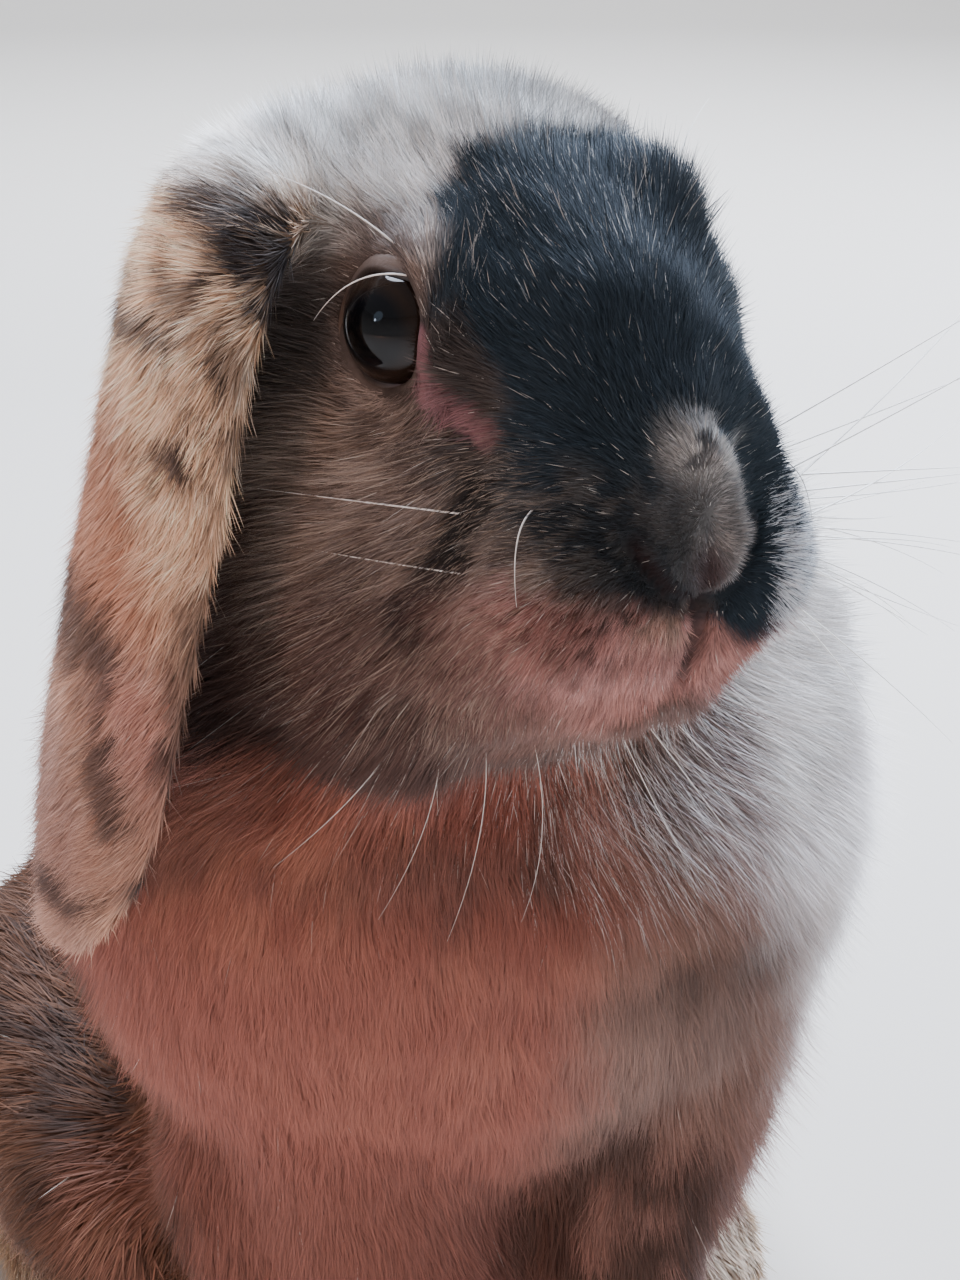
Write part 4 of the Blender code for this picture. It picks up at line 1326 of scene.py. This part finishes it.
# ---- eyes, lids, whiskers and claws -------------------------------------------------------
@dataclass
class Eyes:
    """Both globes with their lids."""

    skin: Skin
    radius: float = 8.0
    cornea: float = 0.5  # how far the cornea stands out of the globe
    bulge: float = 50.0  # degrees from the axis to the cornea's edge
    facing: tuple[float, float, float] = (0.93, -0.33, 0.12)
    # Degrees from the axis to the lid: all round, in front, below and above.
    opening: tuple[float, float, float, float] = (70.0, 57.0, 68.0, 61.0)
    corner: float = 9.0  # power that blends these four; more makes corners sharper
    # A lid's section: degrees beyond the opening, radius, and share of the outer colour.
    fold: tuple = ((-1.5, 7.7), (0.0, 8.15), (1.2, 8.5), (3.5, 8.75), (7.0, 8.9))
    shading: tuple = (0, 0, 0.25, 0.6, 0.9, 1, 1, 1)
    rings: int = 40
    sides: int = 64

    def build(self) -> list[Object]:
        """Builds both eyes.

        Returns:
            The pieces.
        """
        made = []
        head, finish, lid = self.skin.head, EyeFinish().make(), LID.make()
        for side, sign in SIDES:
            axis = head.turned(unit(np.array(self.facing) * (sign, 1, 1)))
            up = unit(head.axes[2] - axis * (axis @ head.axes[2]))
            basis = np.stack([np.cross(axis, up) * sign, up, axis])
            globe = self.globe(f"globe_{side}", head.eyes[side], basis)
            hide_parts(f"eye_{side}")
            rim = self.lid(f"lid_{side}", head.eyes[side], basis)
            made += [ride(globe, finish), ride(rim, lid)]
        return made

    def globe(self, name: str, centre: Array, basis: Array) -> Object:
        """A ball whose front bulges by a cosine bell, as the cornea does.

        Args:
            name: The piece's name.
            centre: The eye's centre.
            basis: Front, up and outward directions as rows.

        Returns:
            The globe.
        """
        polar = np.linspace(0, math.pi, self.rings)[1:-1]
        share = np.minimum(polar / math.radians(self.bulge), 1)
        radius = self.radius + self.cornea * np.cos(share * math.pi / 2) ** 2
        local = rings(radius * np.sin(polar), radius * np.cos(polar), self.sides)
        local = np.vstack([local, [[0, 0, self.radius + self.cornea], [0, 0, -self.radius]]])
        top, first = len(local) - 2, np.arange(self.sides)
        last = (len(polar) - 1) * self.sides + first
        caps = np.concatenate([fan(top, first), fan(top + 1, last, True)])
        quads = grid_faces(len(polar), self.sides)[:, ::-1]
        made = mesh_of(name, (centre + local @ basis) * MM, [quads, caps])
        recalculate(made)
        angle = np.arccos(np.clip(unit(local)[:, 2], -1, 1)) / (math.pi / 2)
        attribute = made.data.attributes.new("angle", "FLOAT", "POINT")
        attribute.data.foreach_set("value", np.clip(angle, 0, 1).astype(np.float32))
        return made

    def reach(self, turn: Array) -> Array:
        """Angle from the eye's axis to the lid, in radians, at each turn round the axis.

        The opening is a disc cut straight in front and a little flat above and below; the
        four limits are blended by the sum of their high powers.
        """
        cos, sin = np.cos(turn), np.sin(turn)
        ways = [np.ones_like(turn), *(np.maximum(way, 0) for way in (cos, -sin, sin))]
        limits = np.stack(ways) / np.sin(np.radians(self.opening))[:, None]
        return np.arcsin(1 / np.sum(limits**self.corner, axis=0) ** (1 / self.corner))

    def lid(self, name: str, centre: Array, basis: Array) -> Object:
        """A lid: a soft fold carried round the opening and let into the skin around it.

        Args:
            name: The piece's name.
            centre: The eye's centre.
            basis: Front, up and outward directions as rows.

        Returns:
            The lid.
        """
        turn = np.linspace(0, FULL_TURN, 128, endpoint=False)
        reach = self.reach(turn)[:, None]

        def ring(degrees: Array, distance: Array) -> Array:
            """Places at angles beyond the opening and distances from the eye's centre."""
            angle = reach + np.radians(degrees)
            flat = distance * np.sin(angle)
            parts = flat * np.cos(turn)[:, None], flat * np.sin(turn)[:, None], distance * np.cos(angle)
            return centre + np.stack(parts, axis=-1) @ basis

        fold = ring(*np.array(self.fold).T[:, None])
        reached = ring(np.array([[15.0]]), np.array([[9.7]]))[:, 0]
        found = [self.skin.tree.find_nearest(Vector(place)) for place in reached]
        skin, normal = (np.array([hit[i] for hit in found]) for i in (0, 1))
        between = 0.5 * (fold[:, -1] + skin) + 0.25 * normal
        rows = [fold, *(r[:, None] for r in (between, skin - 0.35 * normal, skin - 1.6 * normal))]
        local = np.concatenate(rows, axis=1)
        made = mesh_of(name, local.reshape(-1, 3) * MM, [grid_faces(*local.shape[:2], looped=True)])
        recalculate(made)
        near = hill((turn + math.pi) % FULL_TURN - math.pi, -0.28, 0.6)[:, None, None]
        share = np.array(self.shading)[None, :, None]
        margin = linear("#2a2523") * (1 - share) + linear("#64564e") * share
        paint(made, (margin * (1 - near) + linear("#a8686b") * near).reshape(-1, 3))
        return made


@dataclass
class Whiskers:
    """Whiskers of the lips, the brows and the cheeks, as tapered tubes on arcs."""

    skin: Skin
    seed: int = 19
    thickness: float = 0.30
    stout: int = 5  # of the single hairs; the rest are thinner
    on_lip: int = 22  # of the left lip, in rows of five
    # Single hairs of the right side in the head's frame: root, middle and tip.
    single: tuple = (
        ((-20.5, -27.5, -7.4), (-28.6, -13.5, -9.0), (-34.5, 8.0, -13.2)),
        ((-21.5, -29.0, -14.5), (-29.0, -14.0, -16.5), (-33.5, 4.0, -19.5)),
        ((-16.8, -34.0, -4.4), (-22.4, -36.0, -4.6), (-22.2, -38.0, -14.8)),
        ((-19.5, -4.6, 20.2), (-26.0, 0.5, 27.2), (-35.5, 7.0, 29.8)),
        ((-20.5, -8.2, 16.4), (-26.5, -4.5, 18.2), (-27.5, 2.6, 9.4)),
        ((-17.0, -13.0, -47.0), (-22.0, -20.0, -54.0), (-31.0, -21.0, -64.0)),
        ((-12.0, -17.0, -47.0), (-16.0, -25.0, -55.0), (-24.0, -27.0, -67.0)),
        ((-7.0, -20.0, -46.0), (-8.0, -28.0, -56.0), (-14.0, -29.0, -66.0)),
        ((-22.0, -9.0, -46.0), (-30.0, -14.0, -50.0), (-42.0, -13.0, -57.0)),
    )

    def build(self) -> list[Object]:
        """Builds the whiskers as one piece a side.

        Returns:
            The pieces.
        """
        rng = np.random.default_rng(self.seed)
        material = WHISKER.make()
        made = []
        for side, sign in SIDES:
            parts = []
            for number, arc in enumerate(self.single):
                share = rng.uniform(0.8, 1.0) if number < self.stout else rng.uniform(0.4, 0.6)
                parts.append(self.arc(np.array(arc) * [-sign, 1, 1], self.thickness * share))
            for number in range(self.on_lip if side == "left" else 0):
                row, place = divmod(number, 5)
                start = np.array([sign * 30, -26 - 3.2 * place, -5 - 5 * row])
                start += rng.normal(0, 0.8, 3)
                aim = np.array([sign, -0.05 + 0.12 * place, 0.22 - 0.30 * row])
                aim = unit(aim + rng.normal(0, 0.12, 3))
                length = rng.uniform(38, 54)
                sag = np.array([0, 0.30, rng.uniform(-0.35, 0.05)])
                ends = [start, start + 0.5 * length * aim, start + length * (aim + 0.5 * sag)]
                parts.append(self.arc(np.stack(ends), self.thickness * rng.uniform(0.7, 1.05)))
            points, faces = joined(parts)
            piece = mesh_of(f"whiskers_{side}", points * MM, faces)
            recalculate(piece)
            made.append(ride(piece, material))
        return made

    def arc(self, ends: Array, thickness: float) -> Form:
        """One whisker: the square curve that leaves a root for a middle and bends to a tip.

        Args:
            ends: Root, middle and tip in the head's frame; the root is moved to the skin.
            thickness: Its diameter at the root.

        Returns:
            Its points and faces.
        """
        place = self.skin.head.model(ends)
        nearest, normal, _, _ = self.skin.tree.find_nearest(Vector(place[0]))
        moved = np.array(nearest) - 0.4 * np.array(normal) - place[0]
        place = place + moved * np.array([[1], [0.6], [0.3]])
        t = np.linspace(0, 1, 16)[:, None]
        path = (1 - t) ** 2 * place[0] + 2 * t * (1 - t) * place[1] + t**2 * place[2]
        return tube(path, 0.5 * thickness * (1 - 0.85 * t[:, 0] ** 1.5), 5)


@dataclass
class Claws:
    """Claws of all four feet: short curved cones at the front of each toe."""

    skin: Skin
    length: float = 7.0
    radius: float = 1.1
    toes: int = 4

    def build(self) -> list[Object]:
        """Builds the claws as one piece a foot.

        Returns:
            The pieces.
        """
        material = CLAW.make()
        made = []
        for region, spacing in ((Region.FOREPAW, 6.4), (Region.HINDFOOT, 6.8)):
            for foot in region.value:
                low, high = box(foot)
                parts = []
                for toe in range(self.toes):
                    across = (toe - 0.5 * (self.toes - 1)) * spacing * 0.8
                    root = [0.5 * (low[0] + high[0]) + across, low[1] + 4.5 + 0.055 * across**2, 4.2]
                    parts.append(self.claw(np.array(root), across * 0.072))
                points, faces = joined(parts)
                piece = mesh_of(f"claws_{foot}", points * MM, faces)
                recalculate(piece)
                y = points[:, 1]
                paint(piece, linear("#8a7a6a") * np.interp(y, [y.min(), y.max()], [0.9, 0.35])[:, None])
                made.append(ride(piece, material))
        return made

    def claw(self, root: Array, out: float) -> Form:
        """One claw: a cone that curves down by the square of the way along it."""
        t = np.linspace(0, 1, 9)
        path = root + self.length * np.stack([out * t, -t, -0.34 * t**2], axis=1)
        return tube(path, self.radius * (1 - t) ** 0.7 + 0.05, 8)


# ---- the studio -------------------------------------------------------------------------
@dataclass
class Studio:
    """Camera, floor and soft light."""

    azimuth: float = -20.0
    elevation: float = 21.0
    target: tuple[float, float, float] = (-7.9, -66.4, 154.3)
    distance: float = 360.0
    lens: float = 73.1
    # Lamps: azimuth and elevation, watts, size in metres and colour.
    lamps: tuple = (
        ("window", 112.0, 34.0, 58.0, 0.9, "#dce8ff"),
        ("roof", 165.0, 66.0, 64.0, 1.0, "#e2ecff"),
        ("fill", -50.0, 12.0, 7.0, 1.6, "#ffd2bc"),
        ("bounce", -52.0, 1.0, 3.4, 0.26, "#ffc4aa"),
        ("sky", -64.0, 31.0, 0.9, 0.42, "#a9c4e0"),
        ("catch", -68.0, 24.0, 0.7, 0.1, "#d4e4fa"),
        ("wash", 160.0, 38.0, 26.0, 1.0, "#e6ecf6"),
    )

    def build(self) -> None:
        """Builds all of it."""
        self.camera()
        self.lights()
        self.ground()

    @staticmethod
    def back(azimuth: float, elevation: float) -> Vector:
        """Direction from the object to a place round it, as a unit vector."""
        a, e = math.radians(azimuth), math.radians(elevation)
        return Vector((math.sin(a) * math.cos(e), -math.cos(a) * math.cos(e), math.sin(e)))

    @staticmethod
    def aim(made: Object, place: Vector, towards: Vector) -> None:
        """Puts a camera or lamp at a place and points it in a direction."""
        made.location = place
        made.rotation_mode = "QUATERNION"
        made.rotation_quaternion = towards.to_track_quat("-Z", "Y")

    def camera(self) -> None:
        """A camera that looks at the head and breast from the front right."""
        data = bpy.data.cameras.new("camera")
        data.lens = self.lens
        data.clip_start = 0.01
        camera = link("camera", data)
        back = self.back(self.azimuth, self.elevation)
        self.aim(camera, Vector(self.target) * MM + back * self.distance * MM, -back)
        bpy.context.scene.camera = camera

    def lights(self) -> None:
        """A cool window behind to the right, one above behind, and a warm fill from the left."""
        for name, azimuth, elevation, watts, size, code in self.lamps:
            data = bpy.data.lights.new(name, "AREA")
            data.energy = watts
            data.shape = "DISK"
            data.size = size
            data.color = tuple(linear(code))
            lamp = link(name, data)
            lamp.visible_glossy = name not in ("fill", "bounce")
            back = self.back(azimuth, elevation)
            # The wash lights the floor far behind; all the others light the rabbit.
            towards = Vector((back.x, back.y, -0.3)) if name == "wash" else -back
            self.aim(lamp, Vector((0, -0.03, 0.14)) + back * 1.3, towards)
        world = bpy.data.worlds.new("studio")
        world.use_nodes = True
        shade = world.node_tree.nodes["Background"]
        shade.inputs["Color"].default_value = (*linear("#cfd3d8"), 1)
        shade.inputs["Strength"].default_value = 0.45
        bpy.context.scene.world = world

    def ground(self) -> None:
        """A plain floor that curves up far away: height 2.4 m times the smooth step of radius."""
        sides, radius = 64, np.concatenate([[0.4, 1.0], np.linspace(1.7, 4.2, 18)])
        points = rings(radius, 2.4 * ramp(1.7, 4.2, radius), sides)
        quads, middle = grid_faces(len(radius), sides)[:, ::-1], fan(len(points), np.arange(sides))
        floor = mesh_of("floor", np.vstack([points, [[0, 0, 0]]]), [quads, middle])
        floor.data.materials.append(PLASTER.make())


def main() -> None:
    """Builds the rabbit in order."""
    logging.basicConfig(level=logging.INFO, format="%(message)s")
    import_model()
    skin = Skin(HeadFrame())
    skin.build()
    LOG.info("skin: %d faces", len(skin.faces))
    for maker in (Coat(skin), Eyes(skin), Whiskers(skin), Claws(skin)):
        pieces = maker.build()
        LOG.info("%s: %s", type(maker).__name__, ", ".join(piece.name for piece in pieces))
    Studio().build()


if __name__ == "__main__":
    main()
